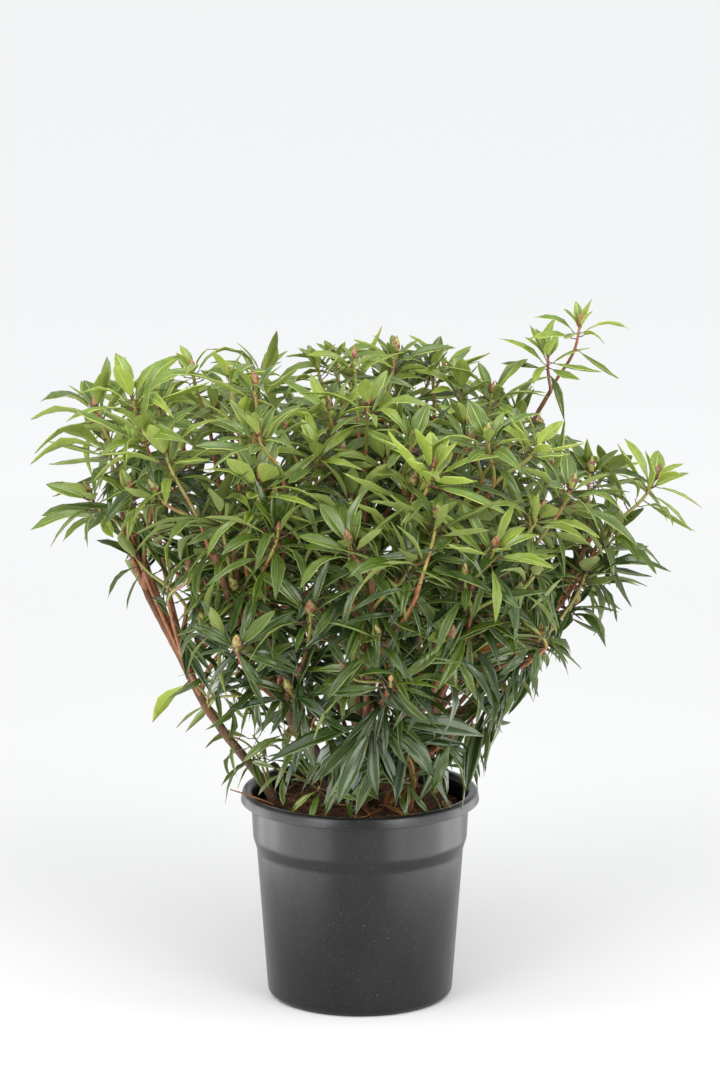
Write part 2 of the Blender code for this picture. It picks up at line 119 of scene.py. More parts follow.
def elbow_curve(start, elbow, end, points):
    """Points on a curve that leaves the start towards the elbow and bends round to the end."""
    path = []
    for step in range(points):
        t = step / (points - 1)
        path.append(start * (1 - t) ** 2 + elbow * 2 * t * (1 - t) + end * t**2)
    return path


def rounded(profile, corner, points=5):
    """The profile with each inner corner replaced by a short curve."""
    profile = [Vector(place) for place in profile]
    smooth = [profile[0]]
    for before, at, after in zip(profile, profile[1:], profile[2:]):
        reach = min(corner, (at - before).length * CORNER_SHARE, (after - at).length * CORNER_SHARE)
        start = at + (before - at).normalized() * reach
        end = at + (after - at).normalized() * reach
        smooth += elbow_curve(start, at, end, points)
    return [*smooth, profile[-1]]


def plain_object(name, mesh, *materials):
    made = bpy.data.objects.new(name, mesh)
    bpy.context.scene.collection.objects.link(made)
    for material in materials:
        mesh.materials.append(material)
    return made


def finished(item):
    """The object with its modifiers worked into a plain mesh."""
    graph = bpy.context.evaluated_depsgraph_get()
    mesh = bpy.data.meshes.new_from_object(item.evaluated_get(graph), depsgraph=graph)
    if item.type == "MESH":
        item.modifiers.clear()
        item.data = mesh
        return item
    made = bpy.data.objects.new(item.name + "_mesh", mesh)
    bpy.context.scene.collection.objects.link(made)
    name = item.name
    bpy.data.objects.remove(item)
    made.name = name
    return made


def turned(name, profile, sides, *materials):
    mesh = bpy.data.meshes.new(name)
    points = [(place[0], 0, place[1]) for place in profile]
    mesh.from_pydata(points, [(i, i + 1) for i in range(len(points) - 1)], [])
    made = plain_object(name, mesh, *materials)
    screw = made.modifiers.new("turn", "SCREW")
    screw.axis = "Z"
    screw.steps = sides
    screw.render_steps = sides
    screw.use_merge_vertices = True
    screw.merge_threshold = JOIN_GAP
    made = finished(made)
    made.data.shade_smooth()
    made.data.set_sharp_from_angle(angle=POT_SHARP_ANGLE)
    return made


class Shader:
    """A Principled material and short ways to add nodes to it."""

    def __init__(self, name, colour, roughness, specular=0.5):
        self.material = bpy.data.materials.new(name)
        self.material.use_nodes = True
        self.nodes = self.material.node_tree.nodes
        self.link = self.material.node_tree.links.new
        self.main = self.nodes["Principled BSDF"]
        self.main.inputs["Base Color"].default_value = (*colour, 1)
        self.main.inputs["Roughness"].default_value = roughness
        self.main.inputs["Specular IOR Level"].default_value = specular
        self.place = None

    def coordinates(self, stretch=(1, 1, 1)):
        if self.place is None:
            self.place = self.nodes.new("ShaderNodeTexCoord")
        mapping = self.nodes.new("ShaderNodeMapping")
        mapping.inputs["Scale"].default_value = stretch
        self.link(self.place.outputs["Object"], mapping.inputs["Vector"])
        return mapping.outputs["Vector"]

    def noise(self, scale, detail=3.0, roughness=0.55, stretch=(1, 1, 1), distortion=0.0):
        node = self.nodes.new("ShaderNodeTexNoise")
        node.inputs["Scale"].default_value = scale
        node.inputs["Detail"].default_value = detail
        node.inputs["Roughness"].default_value = roughness
        node.inputs["Distortion"].default_value = distortion
        self.link(self.coordinates(stretch), node.inputs["Vector"])
        return node.outputs["Fac"]

    def ramp(self, factor, *stops):
        node = self.nodes.new("ShaderNodeValToRGB")
        element = node.color_ramp.elements
        while len(element) < len(stops):
            element.new(0.5)
        for item, (position, colour) in zip(element, stops):
            item.position = position
            item.color = (*colour, 1)
        self.link(factor, node.inputs["Fac"])
        return node.outputs["Color"]

    def mix(self, factor, first, second):
        node = self.nodes.new("ShaderNodeMix")
        node.data_type = "RGBA"
        self.link(factor, node.inputs[0])
        for socket, value in ((node.inputs[6], first), (node.inputs[7], second)):
            if isinstance(value, tuple):
                socket.default_value = (*value, 1)
            else:
                self.link(value, socket)
        return node.outputs[2]

    def colour(self, output):
        self.link(output, self.main.inputs["Base Color"])

    def roughness(self, factor, low, high):
        node = self.nodes.new("ShaderNodeMapRange")
        node.inputs["To Min"].default_value = low
        node.inputs["To Max"].default_value = high
        self.link(factor, node.inputs["Value"])
        self.link(node.outputs["Result"], self.main.inputs["Roughness"])

    def bump(self, *layers):
        """Each layer is a height and how far it stands, in metres."""
        last = None
        for height, distance in layers:
            node = self.nodes.new("ShaderNodeBump")
            node.inputs["Distance"].default_value = distance
            self.link(height, node.inputs["Height"])
            if last is not None:
                self.link(last, node.inputs["Normal"])
            last = node.outputs["Normal"]
        self.link(last, self.main.inputs["Normal"])


BLACK, WHITE = (0, 0, 0), (1, 1, 1)
PLASTIC = (0.0060, 0.0063, 0.0075)
PLASTIC_FILM = (0.013, 0.013, 0.014)
PLASTIC_DUST = (0.070, 0.066, 0.060)
PLASTIC_SMOOTH, PLASTIC_SCUFFED = 0.22, 0.40
PLASTIC_GRAIN_HEIGHT = 0.00008
PLASTIC_DRAG_HEIGHT = 0.00012
plastic = Shader("black_plastic", PLASTIC, roughness=0.30, specular=0.34)
dust = plastic.noise(scale=330, detail=4, roughness=0.6)
specks = plastic.ramp(dust, (0.635, BLACK), (0.70, WHITE))
haze = plastic.noise(scale=11, detail=4, roughness=0.6, stretch=(1, 1, 0.5))
film = plastic.ramp(haze, (0.38, BLACK), (0.72, WHITE))
plastic.colour(plastic.mix(specks, plastic.mix(film, PLASTIC, PLASTIC_FILM), PLASTIC_DUST))
plastic.roughness(plastic.noise(scale=16, detail=5, roughness=0.6), PLASTIC_SMOOTH, PLASTIC_SCUFFED)
drag = plastic.noise(scale=70, detail=2, roughness=0.5, stretch=(1, 1, 0.05))
grain = plastic.noise(scale=480, detail=2)
plastic.bump((grain, PLASTIC_GRAIN_HEIGHT), (drag, PLASTIC_DRAG_HEIGHT))

lip_foot = POT_HEIGHT - LIP_DROP
under_lip = POT_HEIGHT - LIP_THICKNESS
# The wall's section: along the floor, up the inside, over the lip, down the outside and under
pot_profile = rounded(
    [
        (0, POT_FLOOR),
        (pot_wall_radius(HEEL_HEIGHT) - 0.006, POT_FLOOR),
        (pot_wall_radius(STEP_LOW) - POT_WALL, STEP_LOW),
        (BAND_RADIUS - POT_WALL, STEP_HIGH + 0.001),
        (BAND_TOP_RADIUS - POT_WALL, under_lip - 0.002),
        (BAND_TOP_RADIUS + 0.0022, POT_HEIGHT),
        (RIM_RADIUS - 0.0030, POT_HEIGHT - 0.0002),
        (RIM_RADIUS, lip_foot + 0.0012),
        (RIM_RADIUS - 0.0006, lip_foot),
        (RIM_RADIUS - 0.0028, lip_foot),
        (RIM_RADIUS - 0.0040, under_lip - 0.0016),
        (BAND_TOP_RADIUS, under_lip - 0.0040),
        (BAND_RADIUS, STEP_HIGH),
        (pot_wall_radius(STEP_LOW), STEP_LOW),
        (pot_wall_radius(HEEL_HEIGHT * 0.5), HEEL_HEIGHT * 0.5),
        (pot_wall_radius(0) - 0.0065, 0),
        (pot_wall_radius(0) - 0.0120, 0),
        (pot_wall_radius(0) - 0.0140, FOOT_RECESS),
        (0, FOOT_RECESS),
    ],
    corner=POT_CORNER,
)
pot = turned("pot_shell", pot_profile, POT_SIDES, plastic.material)
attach(pot, "root")
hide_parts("pot")


# ------------------------------------------------------------------ potting soil
# Dark peat mixed with bark chips, settled a little below the lip and heaped over the root
# ball. Shreds, dry twigs and dead leaves that fell from inside the crown lie on it.

SOIL_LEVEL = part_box("root_ball")[1][2]
SOIL_RADIUS = 0.1565
SOIL_RINGS = 60
SOIL_SPOKES = 170
SOIL_HEAP = 0.012
SOIL_HEAP_RADIUS = 0.14
SOIL_EDGE_FALL = 0.009
SOIL_EDGE_FROM = 0.118
SOIL_EDGE_WIDTH = 0.038
SOIL_CRUMB = 0.0042
SOIL_CRUMBS_PER_METRE = 38
FIRST_SPOKE = math.pi / 2


def around(azimuth, radius, height):
    return Vector((radius * math.cos(azimuth), radius * math.sin(azimuth), height))


def soil_height(radius, angle):
    """Height of the settled soil: a low lumpy heap that falls away at the wall."""
    heap = SOIL_HEAP * (1 - min(1, radius / SOIL_HEAP_RADIUS) ** 2)
    fall = SOIL_EDGE_FALL * max(0, (radius - SOIL_EDGE_FROM) / SOIL_EDGE_WIDTH) ** 1.4
    place = around(angle, radius, 0)
    lumps = noise.fractal(place * SOIL_CRUMBS_PER_METRE, 1.0, 2.0, 5) * SOIL_CRUMB
    return SOIL_LEVEL + heap - fall + lumps


def soil_mesh(outer):
    """A disc of rings round one middle point, laid out in a fixed order so that chips stay put."""
    points, faces = [around(0, 0, soil_height(0, 0))], []
    for ring in range(SOIL_RINGS):
        radius = outer * (ring + 1) / SOIL_RINGS
        start = len(points)
        for spoke in range(SOIL_SPOKES):
            angle = FIRST_SPOKE + math.tau * spoke / SOIL_SPOKES
            points.append(around(angle, radius, soil_height(radius, angle)))
            here, after = start + spoke, start + (spoke + 1) % SOIL_SPOKES
            inner = (0,) if ring == 0 else (after - SOIL_SPOKES, here - SOIL_SPOKES)
            faces.append((here, after, *inner))
    mesh = bpy.data.meshes.new("soil")
    mesh.from_pydata(points, [], faces)
    mesh.shade_smooth()
    return mesh


class Tree:
    """A geometry node tree with named inputs, built up in the order that geometry flows."""

    def __init__(self, name):
        self.tree = bpy.data.node_groups.new(name, "GeometryNodeTree")
        self.tree.is_modifier = True
        for way in ("INPUT", "OUTPUT"):
            self.tree.interface.new_socket(name="Geometry", in_out=way, socket_type="NodeSocketGeometry")
        self.enter = self.tree.nodes.new("NodeGroupInput")
        self.leave = self.tree.nodes.new("NodeGroupOutput")
        self.geometry = self.enter.outputs[0]

    def given(self, name, kind):
        """A named input of the tree: a Float, Int, Object or Material."""
        socket = self.tree.interface.new_socket(name=name, in_out="INPUT", socket_type="NodeSocket" + kind)
        return next(out for out in self.enter.outputs if out.identifier == socket.identifier)

    def feed(self, socket, value):
        """Gives an input its value, or a link from another node's socket."""
        if isinstance(value, bpy.types.NodeSocket):
            self.tree.links.new(value, socket)
        else:
            socket.default_value = value

    def node(self, kind, settings=None, **inputs):
        """Adds a node with these settings and inputs, with _ for a space in an input's name."""
        made = self.tree.nodes.new(kind)
        for key, value in (settings or {}).items():
            setattr(made, key, value)
        for key, value in inputs.items():
            self.feed(made.inputs[key.replace("_", " ")], value)
        return made

    def named(self, name, kind):
        made = self.node("GeometryNodeInputNamedAttribute", {"data_type": kind}, Name=name)
        return next(out for out in made.outputs if out.enabled and out.name == "Attribute")

    def maths(self, operation, first, second):
        made = self.node("ShaderNodeMath", {"operation": operation})
        self.feed(made.inputs[0], first)
        self.feed(made.inputs[1], second)
        return made.outputs[0]

    def realize(self, placed):
        made = self.node("GeometryNodeRealizeInstances", Geometry=placed.outputs[0])
        self.geometry = made.outputs[0]

    def paint(self, material, selection=None):
        made = self.node("GeometryNodeSetMaterial", Geometry=self.geometry, Material=material)
        if selection is not None:
            self.tree.links.new(selection, made.inputs["Selection"])
        self.geometry = made.outputs[0]

    def run(self, item, **values):
        """Applies the tree to an object with these input values and returns a plain mesh."""
        self.tree.links.new(self.geometry, self.leave.inputs[0])
        modifier = item.modifiers.new(self.tree.name, "NODES")
        modifier.node_group = self.tree
        for socket in self.tree.interface.items_tree:
            key = socket.name.replace(" ", "_")
            if socket.in_out == "INPUT" and key in values:
                modifier[socket.identifier] = values[key]
        return finished(item)


SOIL = (0.035, 0.020, 0.012)
SOIL_WET = (0.020, 0.011, 0.007)
SOIL_DRY = (0.075, 0.038, 0.021)
SOIL_FIBRE = (0.110, 0.058, 0.032)
SOIL_PATCH_HEIGHT = 0.004
SOIL_GRAIN_HEIGHT = 0.0016
soil_shader = Shader("potting_soil", SOIL, roughness=0.95, specular=0.25)
grains = soil_shader.noise(scale=260, detail=6, roughness=0.7)
patches = soil_shader.noise(scale=34, detail=5, roughness=0.6)
damp = soil_shader.ramp(patches, (0.35, SOIL_WET), (0.70, SOIL_DRY))
soil_shader.colour(soil_shader.mix(grains, damp, SOIL_FIBRE))
soil_shader.bump((patches, SOIL_PATCH_HEIGHT), (grains, SOIL_GRAIN_HEIGHT))

soil = plain_object("soil_surface", soil_mesh(SOIL_RADIUS), soil_shader.material)
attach(soil, "root")
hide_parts("root_ball")

CHIP_COUNT = 2600
CHIP_SIZE = 0.0045
CHIP_SMALLEST, CHIP_LARGEST = 0.35, 1.35
CHIP_TIP = 0.5
CHIP_REACH = 0.143
CHIP_ROUGHNESS = 0.30
# Length, width and thickness of each kind of chip beside the chip size
CHIP_KINDS = {"Flat chip": (1.0, 0.62, 0.28), "Long chip": (1.9, 0.34, 0.24), "Shred": (2.6, 0.20, 0.14)}


def chip_mesh(name, stretch, seed):
    """A splinter of bark: a squashed block with its corners knocked about."""
    draw = random.Random(seed)
    shape = bmesh.new()
    bmesh.ops.create_icosphere(shape, subdivisions=1, radius=1)
    for vert in shape.verts:
        rough = 1 + draw.uniform(-CHIP_ROUGHNESS, CHIP_ROUGHNESS)
        vert.co = Vector([part * longer for part, longer in zip(vert.co, stretch)]) * rough
    mesh = bpy.data.meshes.new(name)
    shape.to_mesh(mesh)
    shape.free()
    return mesh


CHIP_TONES = (
    (0.30, (0.022, 0.013, 0.009)),
    (0.50, (0.085, 0.040, 0.021)),
    (0.66, (0.180, 0.090, 0.045)),
    (0.78, (0.300, 0.165, 0.085)),
)
CHIP_GRAIN_HEIGHT = 0.0006
chips_shader = Shader("bark_chips", SOIL_DRY, roughness=0.9, specular=0.2)
chips_shader.colour(chips_shader.ramp(chips_shader.noise(scale=55), *CHIP_TONES))
chips_shader.bump((chips_shader.noise(scale=500), CHIP_GRAIN_HEIGHT))

chip_tree = Tree("bark_chips_on_soil")
chip_count = chip_tree.given("Density", "Float")
chip_size = chip_tree.given("Chip size", "Float")
chip_forms = [chip_tree.given(name, "Object") for name in reversed(CHIP_KINDS)]
chip_finish = chip_tree.given("Finish", "Material")
scatter = chip_tree.node(
    "GeometryNodeDistributePointsOnFaces",
    {"distribute_method": "RANDOM"},
    Mesh=chip_tree.geometry,
    Density=chip_count,
    Seed=7,
)
chip_kinds = chip_tree.tree.nodes.new("GeometryNodeJoinGeometry")
for chip_form in chip_forms:
    info = chip_tree.node("GeometryNodeObjectInfo", Object=chip_form, As_Instance=True)
    chip_tree.tree.links.new(info.outputs["Geometry"], chip_kinds.inputs[0])
spin = chip_tree.node("FunctionNodeRandomValue", {"data_type": "FLOAT_VECTOR"}, Seed=3)
spin.inputs[0].default_value = (-CHIP_TIP, -CHIP_TIP, 0)
spin.inputs[1].default_value = (CHIP_TIP, CHIP_TIP, math.tau)
grow = chip_tree.node("FunctionNodeRandomValue", {"data_type": "FLOAT"}, Seed=5)
grow.inputs[2].default_value = CHIP_SMALLEST
grow.inputs[3].default_value = CHIP_LARGEST
placed = chip_tree.node(
    "GeometryNodeInstanceOnPoints",
    Points=scatter.outputs["Points"],
    Instance=chip_kinds.outputs[0],
    Pick_Instance=True,
    Rotation=spin.outputs[0],
    Scale=chip_tree.maths("MULTIPLY", grow.outputs[1], chip_size),
)
chip_tree.realize(placed)
chip_tree.paint(chip_finish)

chip_shapes = {}
for seed, (kind, stretch) in enumerate(CHIP_KINDS.items(), start=1):
    name = kind.lower().replace(" ", "_")
    chip_shapes[kind.replace(" ", "_")] = plain_object(name, chip_mesh(name, stretch, seed))
chips = chip_tree.run(
    plain_object("soil_chips", soil_mesh(CHIP_REACH)),
    Density=CHIP_COUNT / (math.pi * CHIP_REACH**2),
    Chip_size=CHIP_SIZE,
    Finish=chips_shader.material,
    **chip_shapes,
)
for spare in chip_shapes.values():
    bpy.data.objects.remove(spare)
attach(chips, "root")


# ------------------------------------------------------------------ stems and boughs
# Eight woody stems rise from the root ball and lean out like a vase. Boughs leave them on the
# way up. Old wood has thin brown bark that flakes in long plates, paler orange where it peeled.

CROWN_HALF_WIDTH = 0.505
CROWN_HALF_DEPTH = 0.450
CROWN_TOP = 0.978
CROWN_FLAT_RADIUS = 0.24
CROWN_EDGE_DROP = 0.065
UP = Vector((0, 0, 1))
SIDES = ("right", "back_right", "back", "back_left", "left", "front_left", "front", "front_right")
STEM_STEP = math.tau / len(SIDES)
STEM_SWAY = 0.09
BARE_SIDE = "left"
HEART_SIDES = ("left", "right")
INNER_TOP_SIDES = ("front", "back")
INNER_TOP_SHARE = 0.43 * 0.34
LOW_SIDES = ("front", "front_right", "right", "back")
LEADER_SIDE = "back_right"
SHOULDER_RISE_LEFT = 0.022
SHOULDER_RISE_BACK = 0.025
SKIRT_RISE_LEFT = 0.070
LOW_TURN = 0.10

# A stem: how far out its foot and its fork are, on a bare side and elsewhere, the heights and
# outward bow of its knots, how it heads for its mass, and its radii from foot to tip
BARE_FOOT, STEM_FOOT = 0.125, 0.052
BARE_FORK, STEM_FORK_SHARE = 0.268, 0.56
STEM_HEIGHTS = (0.245, 0.315, 0.420, 0.515)
STEM_BOW = (0.90, 1.12, 0.56)
STEM_AIM, STEM_LIFT, STEM_SHORT = 0.60, 0.15, 0.085
STEM_TIP_BOW = (0.012, -0.004)
STEM_RADII = (0.0085, 0.0042)
TAPER_CURVE = 0.8
ROOT_FLARE, ROOT_FLARE_SHARE = 0.25, 0.14
STEM_POINTS, BOUGH_POINTS = 13, 7

# One level of the crown: where its masses lie, as a share of the half width and a height
Level = namedtuple("Level", "share height")
LEVELS = {
    "shoulder": Level(0.745, 0.780),
    "skirt": Level(0.600, 0.590),
    "top": Level(0.430, 0.878),
    "heart": Level(0.250, 0.715),
    "low": Level(0.430, 0.460),
    "leader": Level(0.680, 0.920),
}
# One kind of bough: where it leaves its stem, how far it points at its mass and how far up,
# how much short of the mass's middle it stops, its radii, and its turn round the ring
Bough = namedtuple("Bough", "leaves_at aim lift short foot tip turn")
BOUGHS = {
    "skirt": Bough(0.47, 0.8, 0.0, 0.075, 0.0048, 0.0034, 0.42),
    "top": Bough(0.56, 1.0, 0.6, 0.070, 0.0050, 0.0036, 0.0),
    "heart": Bough(0.56, 1.0, 0.0, 0.070, 0.0050, 0.0036, 0.0),
    "leader": Bough(0.86, 0.7, 0.5, 0.045, 0.0040, 0.0032, -0.50),
}
BOUGH_ELBOW = 0.42
BOUGH_SEED, LOW_SEED = 20, 80
Limb = namedtuple("Limb", "name path foot tip flare parent")
Mass = namedtuple("Mass", "name level limb centre seed")


def crown_reach(azimuth, share):
    return share / math.hypot(math.cos(azimuth) / CROWN_HALF_WIDTH, math.sin(azimuth) / CROWN_HALF_DEPTH)


def level_centre(level, bearing, share=None):
    """Middle of a mass. The crown stands higher at the left and at the back."""
    rise = 0
    if level == "shoulder":
        rise = SHOULDER_RISE_LEFT * (1 - math.cos(bearing)) + SHOULDER_RISE_BACK * math.sin(bearing)
    if level == "skirt":
        rise = SKIRT_RISE_LEFT * max(0, -math.cos(bearing))
    reach = crown_reach(bearing, share or LEVELS[level].share)
    return around(bearing, reach, LEVELS[level].height + rise)


def smooth_path(knots, count):
    """Evenly spaced points on a Catmull-Rom curve through the knots."""
    ends = [knots[0] * 2 - knots[1], *knots, knots[-1] * 2 - knots[-2]]
    spans = len(knots) - 1
    path = []
    for step in range(count):
        place = step / (count - 1) * spans
        span = min(int(place), spans - 1)
        t = place - span
        a, b, c, d = ends[span : span + 4]
        path.append(
            0.5 * (2 * b + (c - a) * t + (2 * a - 5 * b + 4 * c - d) * t**2 + (3 * b - a - 3 * c + d) * t**3)
        )
    return path


def point_on(path, share):
    place = min(1, max(0, share)) * (len(path) - 1)
    low = min(int(place), len(path) - 2)
    return path[low].lerp(path[low + 1], place - low), (path[low + 1] - path[low]).normalized()


def stem_limb(side, azimuth, centre):
    bare = side == BARE_SIDE
    foot = BARE_FOOT if bare else STEM_FOOT
    fork = BARE_FORK if bare else STEM_FORK_SHARE * math.hypot(centre.x, centre.y)
    low, belly, high = STEM_BOW
    reaches = (foot * low, foot * belly, (foot + fork) * high, fork)
    knots = [around(azimuth, reach, height) for reach, height in zip(reaches, STEM_HEIGHTS)]
    heading = (centre - knots[-1]).normalized() * STEM_AIM + UP * STEM_LIFT
    tip = centre - heading.normalized() * STEM_SHORT
    knots += [(knots[-1] + tip) / 2 + around(azimuth, *STEM_TIP_BOW), tip]
    return Limb("stem_" + side, smooth_path(knots, STEM_POINTS), *STEM_RADII, ROOT_FLARE, None)


def bough_limb(name, kind, stem, centre):
    start, along = point_on(stem.path, kind.leaves_at)
    leave = (centre - start).normalized() * kind.aim + along * (1 - kind.aim) + UP * kind.lift
    elbow = start + leave.normalized() * (centre - start).length * BOUGH_ELBOW
    tip = centre - (centre - elbow).normalized() * kind.short
    return Limb(name, elbow_curve(start, elbow, tip, BOUGH_POINTS), kind.foot, kind.tip, 0, stem)


def plan_plant():
    limbs, masses = [], []
    for index, side in enumerate(SIDES):
        azimuth = index * STEM_STEP + random.Random("sway" + side).uniform(-STEM_SWAY, STEM_SWAY)
        centre = level_centre("shoulder", azimuth)
        stem = stem_limb(side, azimuth, centre)
        limbs.append(stem)
        masses.append(Mass("foliage_shoulder_" + side, "shoulder", stem, centre, index))
        kinds = ["skirt", "heart" if side in HEART_SIDES else "top"]
        if side == LEADER_SIDE:
            kinds.append("leader")
        for order, level in enumerate(kinds):
            kind = BOUGHS[level]
            share = INNER_TOP_SHARE if order == 1 and side in INNER_TOP_SIDES else None
            centre = level_centre(level, azimuth + STEM_STEP * kind.turn, share)
            place = level if level == "leader" else f"{level}_{side}"
            bough = bough_limb("bough_" + place, kind, stem, centre)
            limbs.append(bough)
            masses.append(Mass("foliage_" + place, level, bough, centre, BOUGH_SEED * (order + 1) + index))
        if side in LOW_SIDES:
            centre = level_centre("low", azimuth - STEM_STEP * LOW_TURN)
            masses.append(Mass("foliage_low_" + side, "low", stem, centre, LOW_SEED + index))
    return limbs, masses


def limb_radius(limb, share):
    taper = limb.foot + (limb.tip - limb.foot) * share**TAPER_CURVE
    return taper * (1 + limb.flare * max(0.0, 1 - share / ROOT_FLARE_SHARE) ** 2)


BARK_STRETCH = (1, 1, 0.28)


def tube_curve(name, runs):
    """One curve object with a run of (point, radius) pairs for each tube."""
    data = bpy.data.curves.new(name, "CURVE")
    data.dimensions = "3D"
    for run in runs:
        spline = data.splines.new("POLY")
        spline.points.add(len(run) - 1)
        for point, (place, radius) in zip(spline.points, run):
            point.co = (*place, 1)
            point.radius = radius
    made = bpy.data.objects.new(name, data)
    bpy.context.scene.collection.objects.link(made)
    return made


def tube_tree(name):
    """A tree that sweeps a round section along a curve's own radii and roughens it."""
    tree = Tree(name)
    ring_gap = tree.given("Ring gap", "Float")
    facets = tree.given("Facets", "Int")
    relief = tree.given("Relief", "Float")
    grain = tree.given("Grain", "Float")
    finish = tree.given("Finish", "Material")
    rings = tree.node("GeometryNodeResampleCurve", {"mode": "LENGTH"}, Curve=tree.geometry, Length=ring_gap)
    section = tree.node("GeometryNodeCurvePrimitiveCircle", Resolution=facets, Radius=1.0)
    sweep = tree.node(
        "GeometryNodeCurveToMesh",
        Curve=rings.outputs[0],
        Profile_Curve=section.outputs[0],
        Scale=tree.node("GeometryNodeInputRadius").outputs[0],
        Fill_Caps=True,
    )
    stretch = tree.node("ShaderNodeVectorMath", {"operation": "MULTIPLY"})
    tree.feed(stretch.inputs[0], tree.node("GeometryNodeInputPosition").outputs[0])
    tree.feed(stretch.inputs[1], BARK_STRETCH)
    bark = tree.node("ShaderNodeTexNoise", Vector=stretch.outputs[0], Scale=grain, Detail=4.0, Roughness=0.6)
    height = tree.maths("MULTIPLY", tree.maths("SUBTRACT", bark.outputs[0], 0.5), relief)
    push = tree.node("ShaderNodeVectorMath", {"operation": "SCALE"}, Scale=height)
    tree.feed(push.inputs[0], tree.node("GeometryNodeInputNormal").outputs[0])
    moved = tree.node("GeometryNodeSetPosition", Geometry=sweep.outputs[0], Offset=push.outputs[0])
    tree.realize(tree.node("GeometryNodeSetShadeSmooth", Geometry=moved.outputs[0]))
    tree.paint(finish)
    return tree


BARK = (0.170, 0.085, 0.045)
BARK_TONES = (
    (0.30, (0.060, 0.032, 0.021)),
    (0.47, (0.185, 0.080, 0.038)),
    (0.60, (0.330, 0.135, 0.058)),
    (0.78, (0.400, 0.230, 0.135)),
)
BARK_FIBRE = (0.135, 0.075, 0.045)
BARK_WEATHERED = ((0.34, (0.055, 0.034, 0.024)), (0.62, (0.165, 0.090, 0.052)))
WEATHERED_UP_TO, PEELING_ABOVE = 0.36, 0.52
BARK_PLATE_HEIGHT = 0.0012
BARK_FIBRE_HEIGHT = 0.0005
bark_shader = Shader("brown_bark", BARK, roughness=0.82, specular=0.3)
plates = bark_shader.noise(scale=95, detail=5, roughness=0.65, stretch=(1, 1, 0.22), distortion=0.6)
fine = bark_shader.noise(scale=620, detail=4, roughness=0.7, stretch=(1, 1, 0.35))
tone = bark_shader.ramp(plates, *BARK_TONES)
rise = bark_shader.nodes.new("ShaderNodeSeparateXYZ")
bark_shader.link(bark_shader.coordinates(), rise.inputs[0])
age_shade = bark_shader.ramp(rise.outputs["Z"], (WEATHERED_UP_TO, WHITE), (PEELING_ABOVE, BLACK))
weathered = bark_shader.ramp(plates, *BARK_WEATHERED)
bark_shader.colour(bark_shader.mix(age_shade, bark_shader.mix(fine, tone, BARK_FIBRE), weathered))
bark_shader.bump((plates, BARK_PLATE_HEIGHT), (fine, BARK_FIBRE_HEIGHT))

LIMB_STATIONS = 40
STEM_SUNK = 0.004
BARK_RING_GAP = 0.0022
BARK_GRAIN = 110.0
STEM_FACETS, STEM_RELIEF = 20, 0.0030
BOUGH_FACETS, BOUGH_RELIEF = 14, 0.0014
limbs, masses = plan_plant()
bark_tree = tube_tree("barked_limb")
for limb in limbs:
    is_stem = limb.parent is None
    shares = [step / LIMB_STATIONS for step in range(LIMB_STATIONS + 1)]
    run = [(point_on(limb.path, share)[0], limb_radius(limb, share)) for share in shares]
    if is_stem:
        run = [(place, radius) for place, radius in run if place.z > SOIL_LEVEL - STEM_SUNK]
    wood = bark_tree.run(
        tube_curve(limb.name + "_bark", [run]),
        Ring_gap=BARK_RING_GAP,
        Facets=STEM_FACETS if is_stem else BOUGH_FACETS,
        Relief=STEM_RELIEF if is_stem else BOUGH_RELIEF,
        Grain=BARK_GRAIN,
        Finish=bark_shader.material,
    )
    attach(wood, "root")
    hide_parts(limb.name)


# ------------------------------------------------------------------ shoots
# A shoot stops at a bud each year, and two or three new ones leave there like a candelabra.
# So each limb carries forks and each fork slender shoots, bare up to the whorl at their tip.

GOLDEN_ANGLE = math.pi * (3 - math.sqrt(5))
FORK_WOOD_START, FORK_WOOD_END = 0.0036, 0.0028
LOW_WOOD_START = 0.0042
SHOOT_RADII = (0.0027, 0.0023)
LEADER_RADII = (0.0026, 0.0021)
NEAR_SOIL_RADII = (0.0022, 0.0015)
TWIG_RADII = (0.0016, 0.0009)
WHORL_GAP = 0.056
CAMERA_TILT = math.sin(CAMERA_PITCH_DOWN)

# How one level grows. Forks: their number, the share of the limb where their wood leaves it,
# and how far they spread across and below the mass's middle. Shoots: the most at a fork,
# their shortest and longest, and how much they rise, lean out of the crown and fan apart.
Habit = namedtuple("Habit", "forks wood_from across below shoots short long up out fan")
HABITS = {
    "shoulder": Habit(5, 0.45, 0.085, 0.050, 4, 0.075, 0.135, 0.85, 0.40, 0.80),
    "skirt": Habit(5, 0.20, 0.090, 0.020, 4, 0.060, 0.115, 0.60, 0.50, 0.90),
    "top": Habit(5, 0.40, 0.085, 0.060, 4, 0.065, 0.115, 1.10, 0.10, 0.70),
    "heart": Habit(5, 0.30, 0.085, 0.060, 4, 0.080, 0.130, 1.00, 0.10, 0.75),
    "low": Habit(2, 0.20, 0.045, 0.000, 2, 0.050, 0.085, 0.30, 0.75, 0.80),
    "leader": Habit(0, 0.90, 0.000, 0.120, 1, 0.070, 0.125, 1.30, 0.10, 0.28),
}


def places(*rows):
    return [Vector(row) for row in rows]


